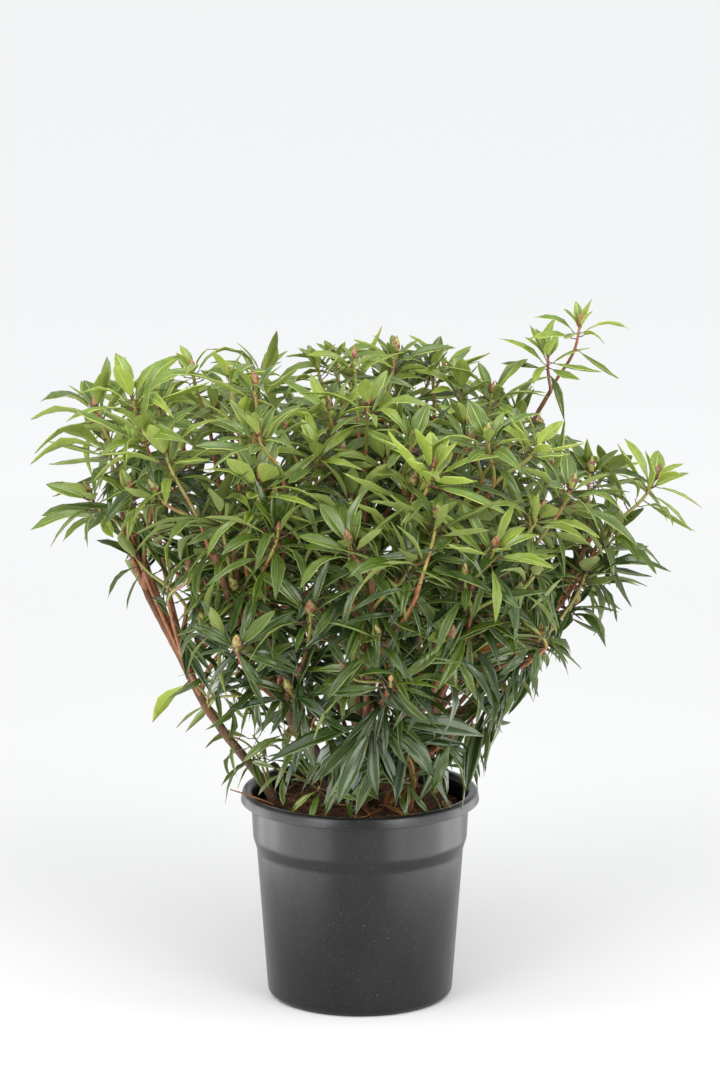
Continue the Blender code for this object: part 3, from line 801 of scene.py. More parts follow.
# Whorls that stand clear at the front and at the crown's corners, by where their bud is
CLEAR_WHORLS = places(
    (0.322, 0.060, 0.997), (0.276, 0.060, 0.954), (0.430, -0.020, 0.784), (0.336, -0.010, 0.790),
    (0.366, -0.030, 0.705), (0.330, -0.050, 0.652), (-0.386, 0.000, 0.888), (-0.392, -0.050, 0.765),
    (-0.372, 0.030, 0.832), (-0.330, -0.040, 0.911), (-0.037, 0.050, 0.950), (-0.008, -0.020, 0.962),
    (0.052, 0.080, 0.952), (0.107, 0.080, 0.934), (0.150, 0.050, 0.912), (0.193, 0.030, 0.902),
    (-0.245, 0.020, 0.941), (-0.311, -0.120, 0.872), (-0.278, -0.160, 0.850), (0.102, -0.300, 0.855),
    (0.011, -0.150, 0.918), (-0.043, -0.130, 0.905), (-0.151, -0.100, 0.932), (-0.190, -0.020, 0.935),
    (-0.062, 0.020, 0.945), (-0.070, -0.300, 0.648), (0.025, -0.310, 0.615), (0.127, -0.300, 0.612),
    (-0.100, -0.240, 0.521), (0.022, -0.240, 0.476), (-0.199, -0.200, 0.774), (-0.115, -0.280, 0.762),
    (-0.014, -0.330, 0.751), (0.072, -0.330, 0.727), (0.147, -0.320, 0.699), (-0.141, -0.250, 0.827),
    (0.300, -0.150, 0.793), (-0.175, -0.220, 0.662), (-0.328, -0.020, 0.668), (0.312, -0.030, 0.600),
)
CLEARANCE = 0.056
CLEAR_HEART = 0.030
CLEAR_HEART_BEFORE = 0.010

# Small shoots near the soil, by where their tip is
LOW_TIPS = places(
    (-0.190, -0.050, 0.520), (-0.165, -0.020, 0.500), (-0.150, -0.080, 0.475), (-0.205, 0.040, 0.450),
    (-0.185, -0.020, 0.395), (-0.160, 0.070, 0.375), (-0.120, -0.090, 0.365), (-0.060, -0.120, 0.345),
    (-0.020, -0.125, 0.372), (0.070, -0.125, 0.360), (0.125, -0.085, 0.372), (0.150, 0.030, 0.395),
    (0.190, -0.030, 0.425), (0.070, 0.120, 0.385), (-0.060, 0.125, 0.390), (-0.110, -0.160, 0.440),
)

# Gaps in the crown where the sky shows through from the front: across, up, and half their width
SKY_GAPS = (
    (-0.389, 0.681, 0.034), (-0.342, 0.598, 0.032), (-0.364, 0.628, 0.032), (-0.316, 0.636, 0.020),
    (-0.294, 0.561, 0.030), (-0.268, 0.598, 0.022), (0.383, 0.853, 0.030), (-0.099, 0.935, 0.020),
    (-0.455, 0.950, 0.030), (-0.475, 0.785, 0.036), (-0.335, 0.920, 0.018), (-0.240, 0.925, 0.016),
    (-0.087, 0.926, 0.018), (-0.234, 0.793, 0.018), (-0.220, 0.756, 0.014), (0.335, 0.901, 0.042),
    (0.291, 0.915, 0.028), (0.233, 0.930, 0.018), (0.193, 0.945, 0.018), (0.350, 0.860, 0.026),
    (0.418, 0.718, 0.022), (0.317, 0.553, 0.026), (0.346, 0.523, 0.030), (0.295, 0.477, 0.030),
    (0.266, 0.416, 0.042), (0.222, 0.370, 0.034),
)
Shoot = namedtuple("Shoot", "path level plump clear")
Fork = namedtuple("Fork", "path mass thick clear_tip")

# The crown's underside: its height near the stems, how far out it starts to rise and how fast,
# how it differs on the bare left, and from where it is steeper at the front and back
UNDERSIDE, UNDERSIDE_FROM, UNDERSIDE_SLOPE = 0.320, 0.20, 1.35
BARE_LIFT, BARE_EASE = 0.145, 0.50
STEEPER_FROM = 0.35
EDGE_CURVE = 1.5

# The crown's outline: how far past the plan it reaches, and what clear whorls and the leader
# may add to that. Leaves stay above the lip over the pot, and some hang in front of it.
OUTLINE, CLEAR_OUTLINE = 1.02, 1.06
CLEAR_ABOVE = 0.012
LEADER_TOP = 1.045
LIP_REACH, ABOVE_LIP, LEAST_HEIGHT = 0.004, 0.003, 0.24
NEAR_SOIL_BELOW_LIP, NEAR_SOIL_HEIGHT = 0.018, 0.27
HUB_BELOW_LIP = 0.010
GAP_MARGIN = 0.55
SPACE_OVERLAP = 0.030


def crown_top(radius):
    outer = max(0.0, radius - CROWN_FLAT_RADIUS) / (CROWN_HALF_WIDTH - CROWN_FLAT_RADIUS)
    return CROWN_TOP - CROWN_EDGE_DROP * outer**EDGE_CURVE


def crown_underside(azimuth, radius):
    """Lowest foliage: it rises outwards, and the left side is bare up to half the height."""
    bare = max(0.0, -math.cos(azimuth)) ** 2
    slope = UNDERSIDE_SLOPE - BARE_EASE * bare
    steeper = max(0.0, radius - STEEPER_FROM) * (1 - abs(math.cos(azimuth)))
    return UNDERSIDE + BARE_LIFT * bare + slope * max(0.0, radius - UNDERSIDE_FROM) + steeper


def seen_height(place):
    """Height as the camera sees it: what stands further forward looks lower."""
    return place.z + place.y * CAMERA_TILT


def in_sky_gap(place, margin):
    height = seen_height(place)
    return any(math.hypot(place.x - x, height - up) < size + margin for x, up, size in SKY_GAPS)


def inside_crown(place, level, margin=0.0, clear=False):
    """True within the crown's outline. A clear whorl may stand in a gap."""
    radius = math.hypot(place.x, place.y)
    azimuth = math.atan2(place.y, place.x)
    top = LEADER_TOP if level == "leader" else crown_top(radius)
    share = OUTLINE
    if clear and level == "shoulder":
        top += CLEAR_ABOVE
        share = CLEAR_OUTLINE
    over_pot = radius < RIM_RADIUS + LIP_REACH
    floor = POT_HEIGHT + ABOVE_LIP if over_pot else max(LEAST_HEIGHT, crown_underside(azimuth, radius))
    if level == "near_soil":
        floor = POT_HEIGHT - NEAR_SOIL_BELOW_LIP if over_pot else NEAR_SOIL_HEIGHT
    if clear and level == "low" and not over_pot:
        floor = POT_HEIGHT - HUB_BELOW_LIP
    if not floor + margin < place.z < top - margin:
        return False
    if radius >= crown_reach(azimuth, share) - margin:
        return False
    return clear or level == "leader" or not in_sky_gap(place, margin * GAP_MARGIN)


def own_space(place, mass):
    nearest = min((place - other.centre).length for other in masses if other is not mass)
    return (place - mass.centre).length < nearest + SPACE_OVERLAP


def covers_clear_whorl(tip):
    """True if a whorl here would crowd a clear one or stand in front of it."""
    for whorl in CLEAR_WHORLS:
        apart = math.hypot(tip.x - whorl.x, seen_height(tip) - seen_height(whorl))
        if tip.y < whorl.y + CLEARANCE and apart < CLEARANCE:
            return True
    return False


def before_clear_whorl(place):
    """True if this place would hide the heart of a clear whorl from the front."""
    for whorl in CLEAR_WHORLS:
        apart = math.hypot(place.x - whorl.x, seen_height(place) - seen_height(whorl))
        if place.y < whorl.y - CLEAR_HEART_BEFORE and apart < CLEAR_HEART:
            return True
    return False


def outward(place):
    return Vector((place.x, place.y, 0)).normalized()


# A shoot's bend: how far it follows its parent, and how far each end's heading reaches
WOOD_FOLLOWS, WOOD_LEAVES, WOOD_ARRIVES = 0.7, 0.40, 0.38
WOOD_POINTS = 13


def bent_wood(foot, along, tip, axis):
    """A cubic path that leaves the foot part way along its parent and arrives on the axis."""
    span = tip - foot
    heading = (along * WOOD_FOLLOWS + span.normalized()).normalized()
    first = foot + heading * span.length * WOOD_LEAVES
    last = tip - axis * span.length * WOOD_ARRIVES
    path = []
    for step in range(WOOD_POINTS):
        t = step / (WOOD_POINTS - 1)
        s = 1 - t
        path.append(foot * s**3 + first * 3 * s * s * t + last * 3 * s * t * t + tip * t**3)
    return path


# Where a fork's wood may leave the stem: for low masses, on the bare stem and near the soil,
# and how often it does so. Other wood leaves within a stretch of its own limb.
LOW_WOOD_FROM, BARE_WOOD_FROM, SOIL_WOOD_FROM = (0.14, 0.30), (0.42, 0.80), (0.03, 0.20)
ON_BARE_STEM, NEAR_THE_SOIL = 0.7, 0.45
WOOD_STRETCH = 0.45
LEAST_RISE, LEAST_SHARE, STEP_BACK = 0.070, 0.1, 0.85
FORK_UPTURN = 0.5


def fork_wood(mass, place, clear_tip, draw):
    """Older wood to a fork. Some of it leaves the stem near the soil and rises beside it."""
    habit = HABITS[mass.level]
    stem = mass.limb.parent or mass.limb
    bare = stem.name.endswith("_" + BARE_SIDE)
    if mass.level == "low":
        limb, share, thick = stem, draw.uniform(*LOW_WOOD_FROM), FORK_WOOD_START
    elif bare and draw.random() < ON_BARE_STEM:
        limb, share, thick = stem, draw.uniform(*BARE_WOOD_FROM), LOW_WOOD_START
    elif not bare and draw.random() < NEAR_THE_SOIL:
        limb, share, thick = stem, draw.uniform(*SOIL_WOOD_FROM), LOW_WOOD_START
    else:
        share = draw.uniform(habit.wood_from, habit.wood_from + WOOD_STRETCH * (1 - habit.wood_from))
        limb, thick = mass.limb, FORK_WOOD_START
    foot, along = point_on(limb.path, share)
    while foot.z > place.z - LEAST_RISE and share > LEAST_SHARE:
        share *= STEP_BACK
        foot, along = point_on(limb.path, share)
    axis = ((place - foot).normalized() + UP * FORK_UPTURN).normalized()
    return Fork(bent_wood(foot, along, place, axis), mass, thick, clear_tip)


# Forks lie on a spiral in their mass, a little up or down, and move in if they don't fit there
CLEAR_SPREAD = 0.4
SPIRAL_START = 0.3
FORK_SCATTER = (-0.04, 0.02)
FORK_MARGIN, FORK_TRIES, FORK_MOVE_IN, FORK_SINK = 0.05, 4, 0.3, 0.04


def grow_forks(mass, draw):
    habit = HABITS[mass.level]
    phase = draw.uniform(0, math.tau)
    forks = []
    for whorl in CLEAR_WHORLS:
        if min(masses, key=lambda other: (other.centre - whorl).length) is not mass:
            continue
        if mass.level == "leader":
            forks.append(Fork(mass.limb.path, mass, 0, whorl))
            continue
        rise = UP * habit.up + outward(whorl) * habit.out
        rise = (rise + (whorl - mass.centre).normalized() * CLEAR_SPREAD).normalized()
        forks.append(fork_wood(mass, whorl - rise * draw.uniform(habit.short, habit.long), whorl, draw))
    for index in range(len(forks), habit.forks):
        angle = phase + index * GOLDEN_ANGLE
        ring = math.sqrt((index + SPIRAL_START) / habit.forks) * habit.across
        place = mass.centre + around(angle, ring, draw.uniform(*FORK_SCATTER) - habit.below)
        for _ in range(FORK_TRIES):
            if own_space(place, mass) and inside_crown(place, mass.level, FORK_MARGIN):
                break
            place = place.lerp(mass.centre - UP * FORK_SINK, FORK_MOVE_IN)
        forks.append(fork_wood(mass, place, None, draw))
    return forks


# Shoots fan out from a fork, away from the mass's middle, and are tried shorter if they don't
# fit. Nearly all the low ones end in a plump flower bud, and few of the high ones do.
FAN_SCATTER = 0.4
AWAY_FROM_MIDDLE = 4
LEAST_CLIMB = 0.30
TIP_MARGIN, TIP_TRIES, TIP_SHORTER = 0.052, 6, 0.86
TIP_FOLLOWS, TIP_UPTURN, TIP_OUTTURN = 0.35, 0.85, 0.30
HIGH_TIP, PLUMP_HIGH, PLUMP_LOW = 0.84, 0.10, 0.80


def grow_shoots(fork, tips_so_far, draw):
    mass = fork.mass
    habit = HABITS[mass.level]
    at, along = point_on(fork.path, 1)
    count = max(1, habit.shoots - draw.randrange(3))
    phase = draw.uniform(0, math.tau)
    tips = [fork.clear_tip] if fork.clear_tip else []
    for index in range(len(tips), count):
        angle = phase + index * math.tau / count + draw.uniform(-FAN_SCATTER, FAN_SCATTER)
        heading = around(angle, habit.fan, habit.up) + outward(at) * habit.out
        heading += (at - mass.centre + UP * habit.below) * AWAY_FROM_MIDDLE
        heading.normalize()
        heading.z = max(heading.z, LEAST_CLIMB)
        heading.normalize()
        length = draw.uniform(habit.short, habit.long)
        for _ in range(TIP_TRIES):
            tip = at + heading * length
            if own_space(tip, mass) and inside_crown(tip, mass.level, TIP_MARGIN):
                break
            length *= TIP_SHORTER
        else:
            continue
        crowded = any((tip - other).length < WHORL_GAP for other in tips_so_far + tips)
        if not crowded and not covers_clear_whorl(tip):
            tips.append(tip)
    grown = []
    for tip in tips:
        heading = (tip - at).normalized()
        axis = heading * TIP_FOLLOWS + UP * TIP_UPTURN * habit.up + outward(tip) * TIP_OUTTURN * habit.out
        axis.normalize()
        chance = PLUMP_HIGH if tip.z > HIGH_TIP else PLUMP_LOW
        plump = mass.level not in ("leader", "low") and draw.random() < chance
        start = heading if mass.level == "leader" else along
        grown.append(Shoot(bent_wood(at, start, tip, axis), mass.level, plump, tip is fork.clear_tip))
    return grown


# Small shoots leave the stem near its foot, or halfway up if their tip is high
NEAREST_AT = 0.25
HIGH_LOW_TIP, HIGH_LEAVES_AT, LEAVES_FOOT_AT = 0.44, 0.42, (0.08, 0.16)
NEAR_SOIL_OUT, NEAR_SOIL_UP = 0.9, 0.35
NEAR_SOIL_SEED = 400


def grow_low_shoot(tip, draw):
    """A thin shoot from the foot of the nearest stem."""
    stems = [limb for limb in limbs if limb.parent is None]
    stem = min(stems, key=lambda limb: (point_on(limb.path, NEAREST_AT)[0] - tip).length)
    share = HIGH_LEAVES_AT if tip.z > HIGH_LOW_TIP else draw.uniform(*LEAVES_FOOT_AT)
    foot, along = point_on(stem.path, share)
    axis = (outward(tip - foot) * NEAR_SOIL_OUT + UP * NEAR_SOIL_UP).normalized()
    return Shoot(bent_wood(foot, along, tip, axis), "near_soil", False, False)


forks, shoots = [], []
for mass in masses:
    draw = random.Random(mass.seed)
    for fork in grow_forks(mass, draw):
        grown = grow_shoots(fork, [shoot.path[-1] for shoot in shoots], draw)
        if grown:
            forks.append(fork)
            shoots.extend(grown)
for index, tip in enumerate(LOW_TIPS):
    shoots.append(grow_low_shoot(tip, random.Random(NEAR_SOIL_SEED + index)))


def path_length(path):
    return sum((b - a).length for a, b in zip(path, path[1:]))


def tapered(path, radii):
    thick, thin = radii
    return [(place, thick + (thin - thick) * step / (len(path) - 1)) for step, place in enumerate(path)]


OLD_WOOD = (0.300, 0.105, 0.035)
OLD_WOOD_TONES = (
    (0.32, (0.130, 0.045, 0.020)),
    (0.50, (0.300, 0.105, 0.034)),
    (0.72, (0.400, 0.180, 0.070)),
)
YOUNG_WOOD = (0.240, 0.260, 0.050)
YOUNG_WOOD_TONES = (
    (0.40, (0.215, 0.260, 0.042)),
    (0.54, (0.290, 0.260, 0.055)),
    (0.68, (0.300, 0.120, 0.050)),
)
RED_WOOD = (0.330, 0.110, 0.070)
RED_WOOD_TONES = ((0.38, (0.330, 0.095, 0.065)), (0.66, (0.380, 0.210, 0.090)))
STREAK_HEIGHT = 0.0006
RIND_HEIGHT = 0.0002
old_wood = Shader("older_shoot", OLD_WOOD, roughness=0.60)
streak = old_wood.noise(scale=260, roughness=0.6, stretch=(1, 1, 0.25))
old_wood.colour(old_wood.ramp(streak, *OLD_WOOD_TONES))
old_wood.bump((streak, STREAK_HEIGHT))
young_wood = Shader("young_shoot", YOUNG_WOOD, roughness=0.45)
young_wood.colour(young_wood.ramp(young_wood.noise(scale=30, detail=2, roughness=0.5), *YOUNG_WOOD_TONES))
red_wood = Shader("red_shoot", RED_WOOD, roughness=0.45)
red_wood.colour(red_wood.ramp(red_wood.noise(scale=45, detail=2, roughness=0.5), *RED_WOOD_TONES))
for rind in (young_wood, red_wood):
    rind.bump((rind.noise(scale=500, detail=2), RIND_HEIGHT))

# Broken twigs on the soil, one of them over the pot's left edge
TWIGS = (
    ((-0.128, -0.058, 0.303), (-0.160, -0.070, 0.319), (-0.190, -0.082, 0.332)),
    ((-0.080, -0.100, 0.296), (-0.055, -0.118, 0.300), (-0.028, -0.122, 0.297)),
    ((0.040, -0.115, 0.296), (0.075, -0.108, 0.302), (0.104, -0.090, 0.297)),
    ((-0.030, -0.060, 0.303), (0.004, -0.083, 0.304), (0.018, -0.112, 0.296)),
    ((0.110, 0.020, 0.299), (0.128, 0.055, 0.298), (0.120, 0.086, 0.294)),
    ((-0.110, 0.040, 0.298), (-0.090, 0.080, 0.301), (-0.052, 0.104, 0.297)),
)
TWIG_POINTS = 9
SHOOT_RING_GAP = 0.007
SHOOT_FACETS = 8
SHOOT_RELIEF = 0.0006
SHOOT_GRAIN = 160.0
twigs = [tapered(smooth_path(places(*twig), TWIG_POINTS), TWIG_RADII) for twig in TWIGS]
older = [tapered(fork.path, (fork.thick, FORK_WOOD_END)) for fork in forks if fork.thick]
reddish = [tapered(shoot.path, LEADER_RADII) for shoot in shoots if shoot.level == "leader"]
low = [tapered(shoot.path, NEAR_SOIL_RADII) for shoot in shoots if shoot.level == "near_soil"]
others = [shoot for shoot in shoots if shoot.level not in ("leader", "near_soil")]
young = [tapered(shoot.path, SHOOT_RADII) for shoot in others]
shoot_tree = tube_tree("slender_shoot")
for name, runs, finish in (
    ("shoots_older_wood", older + twigs, old_wood.material),
    ("shoots_last_growth", young + low, young_wood.material),
    ("shoots_leader", reddish, red_wood.material),
):
    wood = shoot_tree.run(
        tube_curve(name, runs),
        Ring_gap=SHOOT_RING_GAP,
        Facets=SHOOT_FACETS,
        Relief=SHOOT_RELIEF,
        Grain=SHOOT_GRAIN,
        Finish=finish,
    )
    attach(wood, "root")
    if name == "shoots_older_wood":
        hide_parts(*[mass.name for mass in masses])


# ------------------------------------------------------------------ leaves
# Long leathery evergreen leaves in whorls round each shoot's tip, with a pale sunken midrib,
# a fine pale margin, a paler underside and a short red stalk. Older leaves hang below them.

UPPER, LINE, UNDER, STALK = range(4)
STALK_SHARE = 0.10
BLADE_STATIONS = (0.0, 0.13, 0.34, 0.56, 0.78, 0.92, 1.0)
TOP_COLUMNS = (-1, -0.95, -0.50, -0.045, 0.045, 0.50, 0.95, 1)
TOP_PARTS = (LINE, UPPER, UPPER, LINE, UPPER, UPPER, LINE)
UNDER_COLUMNS = (1, 0.92, 0.05, -0.05, -0.92, -1)
UNDER_PARTS = (LINE, UNDER, LINE, UNDER, LINE)
BLADE_THICKNESS = 0.012
BLADE_CROWN = 0.001
MIDRIB_SINK = 0.004
MIDRIB_WIDTH = 0.1
# The blade's form, one unit long: widest below the middle, arched more towards the tip, raised
# beside the midrib and turned down at the margin, and rippled along it
WIDEST_BELOW, ARCH_TO_TIP = 1.08, 1.45
BLADE_RAISED, MARGIN_DOWN = 0.30, 0.20
RIPPLES, RIPPLE_SHIFT = 17, 2.2
SWEEP_SHARE, TWIST_LIFT = 2, 0.25
# The stalk, square in section: how far along, half as wide and half as high at its two ends
STALK_ENDS = ((-0.012, 0.075, 0.011), (STALK_SHARE + 0.05, 0.045, 0.006))
STALK_CORNERS = ((-1, 0), (0, 1), (1, 0), (0, -1))
STALK_DROP = 0.003
LEAF_WELD_GAP = 2e-5
LEAF_SHARP_ANGLE = math.radians(60)

# How a leaf is bent: arch along it, fold along the midrib, twist, sideways sweep, wave of
# its margin, and how fine its point is
Bend = namedtuple("Bend", "arch fold twist sweep wave point")
LEAF_BENDS = (
    Bend(0.06, 0.9, 0.0, 0.00, 0.006, 0.80),
    Bend(0.16, 0.6, 0.3, 0.03, 0.008, 0.85),
    Bend(0.24, 0.8, -0.4, -0.04, 0.010, 1.05),
    Bend(0.36, 0.6, 0.5, 0.06, 0.012, 1.10),
    Bend(0.52, 0.7, -0.3, -0.07, 0.012, 1.15),
    Bend(-0.10, 1.1, 0.2, 0.05, 0.012, 1.05),
    Bend(1.10, -1.6, 0.8, 0.16, 0.030, 1.00),
)
UPRIGHT_BENDS, SPREADING_BENDS, FALLEN_BEND = (0, 1), (1, 2, 3, 4, 5), 6


def blade_point(t, u, rise, bend):
    """A point of a leaf one unit long and one wide, at t along it and u across it."""
    half = 0.5 * max(0.0, math.sin(math.pi * t**WIDEST_BELOW)) ** bend.point
    curve = bend.arch * (t - ARCH_TO_TIP * t * t)
    side = half * (BLADE_RAISED * abs(u) - MARGIN_DOWN * abs(u) ** 3) * bend.fold
    ripple = bend.wave * abs(u) ** 3 * math.sin(RIPPLES * t + RIPPLE_SHIFT * u)
    angle = bend.twist * t
    x = u * half * math.cos(angle) + bend.sweep * math.sin(math.pi * t) * SWEEP_SHARE
    y = STALK_SHARE + (1 - STALK_SHARE) * t
    return Vector((x, y, curve + side + ripple + rise + TWIST_LIFT * u * half * math.sin(angle)))


def closed_mesh(name, shape):
    """A smooth mesh of the shape, with all its faces turned outwards."""
    bmesh.ops.recalc_face_normals(shape, faces=shape.faces)
    mesh = bpy.data.meshes.new(name)
    shape.to_mesh(mesh)
    shape.free()
    mesh.shade_smooth()
    return mesh


def leaf_mesh(name, bend):
    shape = bmesh.new()
    part = shape.faces.layers.int.new("part")

    def skin(columns, rise, kinds):
        rows = []
        for t in BLADE_STATIONS:
            swell = math.sin(math.pi * t) ** 0.5 if 0 < t < 1 else 0
            row = []
            for u in columns:
                lift = 0 if abs(u) == 1 else rise(u) * swell
                row.append(shape.verts.new(blade_point(t, u, lift, bend)))
            rows.append(row)
        for low, high in zip(rows, rows[1:]):
            for column, kind in enumerate(kinds):
                face = shape.faces.new((low[column], low[column + 1], high[column + 1], high[column]))
                face[part] = kind

    skin(TOP_COLUMNS, lambda u: -MIDRIB_SINK if abs(u) < MIDRIB_WIDTH else BLADE_CROWN, TOP_PARTS)
    skin(UNDER_COLUMNS, lambda u: -BLADE_THICKNESS, UNDER_PARTS)
    bmesh.ops.remove_doubles(shape, verts=shape.verts, dist=LEAF_WELD_GAP)

    foot, end = (
        [shape.verts.new((a * half_width, y, b * half_height - STALK_DROP)) for a, b in STALK_CORNERS]
        for y, half_width, half_height in STALK_ENDS
    )
    for k in range(4):
        after = (k + 1) % 4
        shape.faces.new((foot[k], foot[after], end[after], end[k]))[part] = STALK
    shape.faces.new(foot)[part] = STALK
    shape.faces.new(list(reversed(end)))[part] = STALK
    mesh = closed_mesh(name, shape)
    mesh.set_sharp_from_angle(angle=LEAF_SHARP_ANGLE)
    return mesh


leaf_shapes = []
for index, bend in enumerate(LEAF_BENDS):
    name = f"leaf_shape_{index}"
    leaf_shapes.append(plain_object(name, leaf_mesh(name, bend)))

# How the leaves of one age look: the tints that are dealt out by spray, the tone of their lines and
# underside, and their roughness.
# Ages are dealt by painted light and shade as well as by age, so the young and fresh tints stand partly for
# leaves lit from above and the deep ones for leaves in the crown's shade; the young and fresh undersides are
# lightened with painted light shining through the leaf.
Age = namedtuple("Age", "tints line under roughness")
AGES = {
    "young": Age(
        ((0.150, 0.225, 0.022), (0.115, 0.185, 0.020), (0.190, 0.255, 0.030)),
        (0.52, 0.56, 0.13), (0.34, 0.44, 0.062), 0.36,
    ),
    "fresh": Age(
        ((0.106, 0.162, 0.013), (0.140, 0.195, 0.015), (0.074, 0.122, 0.012)),
        (0.36, 0.42, 0.09), (0.26, 0.33, 0.060), 0.32,
    ),
    "mature": Age(
        ((0.052, 0.088, 0.009), (0.072, 0.113, 0.011), (0.037, 0.070, 0.010)),
        (0.20, 0.25, 0.050), (0.20, 0.25, 0.055), 0.25,
    ),
    "deep": Age(
        ((0.026, 0.052, 0.007), (0.039, 0.070, 0.008), (0.019, 0.043, 0.007)),
        (0.11, 0.150, 0.032), (0.14, 0.18, 0.045), 0.25,
    ),
    "turning": Age(
        ((0.520, 0.250, 0.020), (0.450, 0.330, 0.030), (0.400, 0.140, 0.015)),
        (0.55, 0.42, 0.10), (0.42, 0.28, 0.07), 0.50,
    ),
    "fallen": Age(
        ((0.360, 0.130, 0.025), (0.260, 0.080, 0.022), (0.180, 0.070, 0.030)),
        (0.40, 0.20, 0.06), (0.30, 0.12, 0.04), 0.60,
    ),
}
STALK_COLOUR = (0.130, 0.045, 0.028)
TINTS = 3

# Painted light and shade in a leaf's tint, for how light falls into the crown: more from this height up over
# this range, with some scatter, less in the crown's shaded middle and more out at its edge; less too by the
# years since, the leaves' own ageing
LIT_FROM, LIT_RANGE, LIT_SCATTER = 0.58, 0.36, 0.30
SHADE_PER_YEAR = 0.42
SHADED_MIDDLE, MIDDLE_RADIUS, MIDDLE_SHADE = Vector((0.12, 0.05)), 0.26, 0.60
EDGE_FROM, EDGE_RANGE, EDGE_LIGHT = 0.32, 0.18, 0.42
YOUNG_LIGHT, FRESH_LIGHT, MATURE_LIGHT = 0.95, 0.56, -0.15

Placed = namedtuple("Placed", "place turn scale shape tint")
leaves = {age: [] for age in AGES}


def age_and_painted_light_of(place, years, draw):
    """Picks a leaf's age: darker with each year of its own age, darker with painted shade lower down and in
    the crown's middle, and lighter with painted light at the top and the outer edge.
    """
    off_middle = math.hypot(place.x - SHADED_MIDDLE.x, place.y - SHADED_MIDDLE.y)
    middle = max(0.0, 1 - off_middle / MIDDLE_RADIUS)
    edge = max(0.0, math.hypot(place.x, place.y) - EDGE_FROM) / EDGE_RANGE
    light = (place.z - LIT_FROM) / LIT_RANGE + draw.uniform(-LIT_SCATTER, LIT_SCATTER)
    # The height, middle and edge terms are painted light and shade; only the years are real ageing.
    light = light - SHADE_PER_YEAR * years - MIDDLE_SHADE * middle + EDGE_LIGHT * edge
    if light > YOUNG_LIGHT:
        return "young"
    if light > FRESH_LIGHT:
        return "fresh"
    return "mature" if light > MATURE_LIGHT else "deep"


# What a leaf that would leave the crown tries instead: a swing of its lean and a share of its
# length. The leaves of a clear whorl keep their lean and grow shorter.
LEAF_TRIES = ((0, 1.0), (16, 0.95), (-14, 0.90), (34, 0.84))
CLEAR_TRIES = ((0, 1.0), (0, 0.84), (10, 0.70), (-14, 0.70), (24, 0.60))
LEAF_MIDDLE = 0.6
FACE_UP = 0.35
LEAF_ROLL = 0.25
BARK_OUT = 0.0012
LENGTHWAYS = Vector((0, 1, 0))


def add_leaf(level, place, axis, angle, lean, size, width, droop, age, bends, tint, clear, draw):
    """Sets a leaf on a shoot if it fits inside the crown at one of a few leans."""
    radial = Matrix.Rotation(angle, 3, axis) @ axis.orthogonal().normalized()
    for swing, share in CLEAR_TRIES if clear else LEAF_TRIES:
        tilt = math.radians(lean + swing)
        along = axis * math.cos(tilt) + radial * math.sin(tilt)
        along = (along - UP * droop).normalized()
        reach = place + along * size * share
        middle = place.lerp(reach, LEAF_MIDDLE)
        hides = not clear and (before_clear_whorl(middle) or before_clear_whorl(reach))
        if not hides and all(inside_crown(spot, level, clear=clear) for spot in (reach, middle)):
            break
    else:
        return
    face = axis * math.sin(tilt) - radial * math.cos(tilt) + UP * FACE_UP
    across = along.cross(face).normalized()
    face = across.cross(along).normalized()
    turn = Matrix((across, along, face)).transposed().to_quaternion()
    turn = turn @ Quaternion(LENGTHWAYS, draw.gauss(0, LEAF_ROLL))
    size *= share
    foot = place + radial * BARK_OUT
    leaves[age].append(Placed(foot, turn, (size * width, size, size), draw.choice(bends), tint))


# The leaves of one level's whorl: the length of its spreading leaves and their width as a share
# of it, the lean of the upright and the spreading ones from the shoot, how much they droop, and
# how long and wide the upright ones are beside the spreading ones
Whorl = namedtuple("Whorl", "length width inner outer droop upright broad")
WHORLS = {
    "shoulder": Whorl(0.098, 0.150, 30, 82, 0.05, 0.58, 2.6),
    "skirt": Whorl(0.098, 0.150, 36, 90, 0.12, 0.80, 1.4),
    "top": Whorl(0.090, 0.160, 26, 78, 0.03, 0.60, 2.4),
    "heart": Whorl(0.098, 0.150, 34, 86, 0.08, 0.82, 1.3),
    "low": Whorl(0.145, 0.160, 50, 102, 0.85, 0.90, 1.0),
    "near_soil": Whorl(0.072, 0.150, 50, 88, 0.12, 0.90, 1.0),
    "leader": Whorl(0.082, 0.160, 28, 78, 0.04, 0.56, 2.3),
}
PLUMP_LEAN = 12
UPRIGHT_COUNT, SPREADING_COUNT, NEAR_SOIL_COUNT = (2, 4), (6, 9), (3, 5)
UPRIGHT_LEAN, UPRIGHT_SIZE, UPRIGHT_WIDTH = (-8, 14), (0.80, 1.20), (0.85, 1.10)
SPREADING_LEAN, SPREADING_SIZE, SPREADING_WIDTH = (-4, 12), (0.78, 1.16), (0.85, 1.20)
SPREADING_SHARE = (0.62, 1.0)
DROOP_SCATTER = 0.08
LOW_REACH, CLEAR_REACH, HUB_WIDTH = 0.72, 1.15, 1.15
WHORL_DROP, LEAF_SPACING = 0.003, 0.0022
SAME_TINT = 0.7


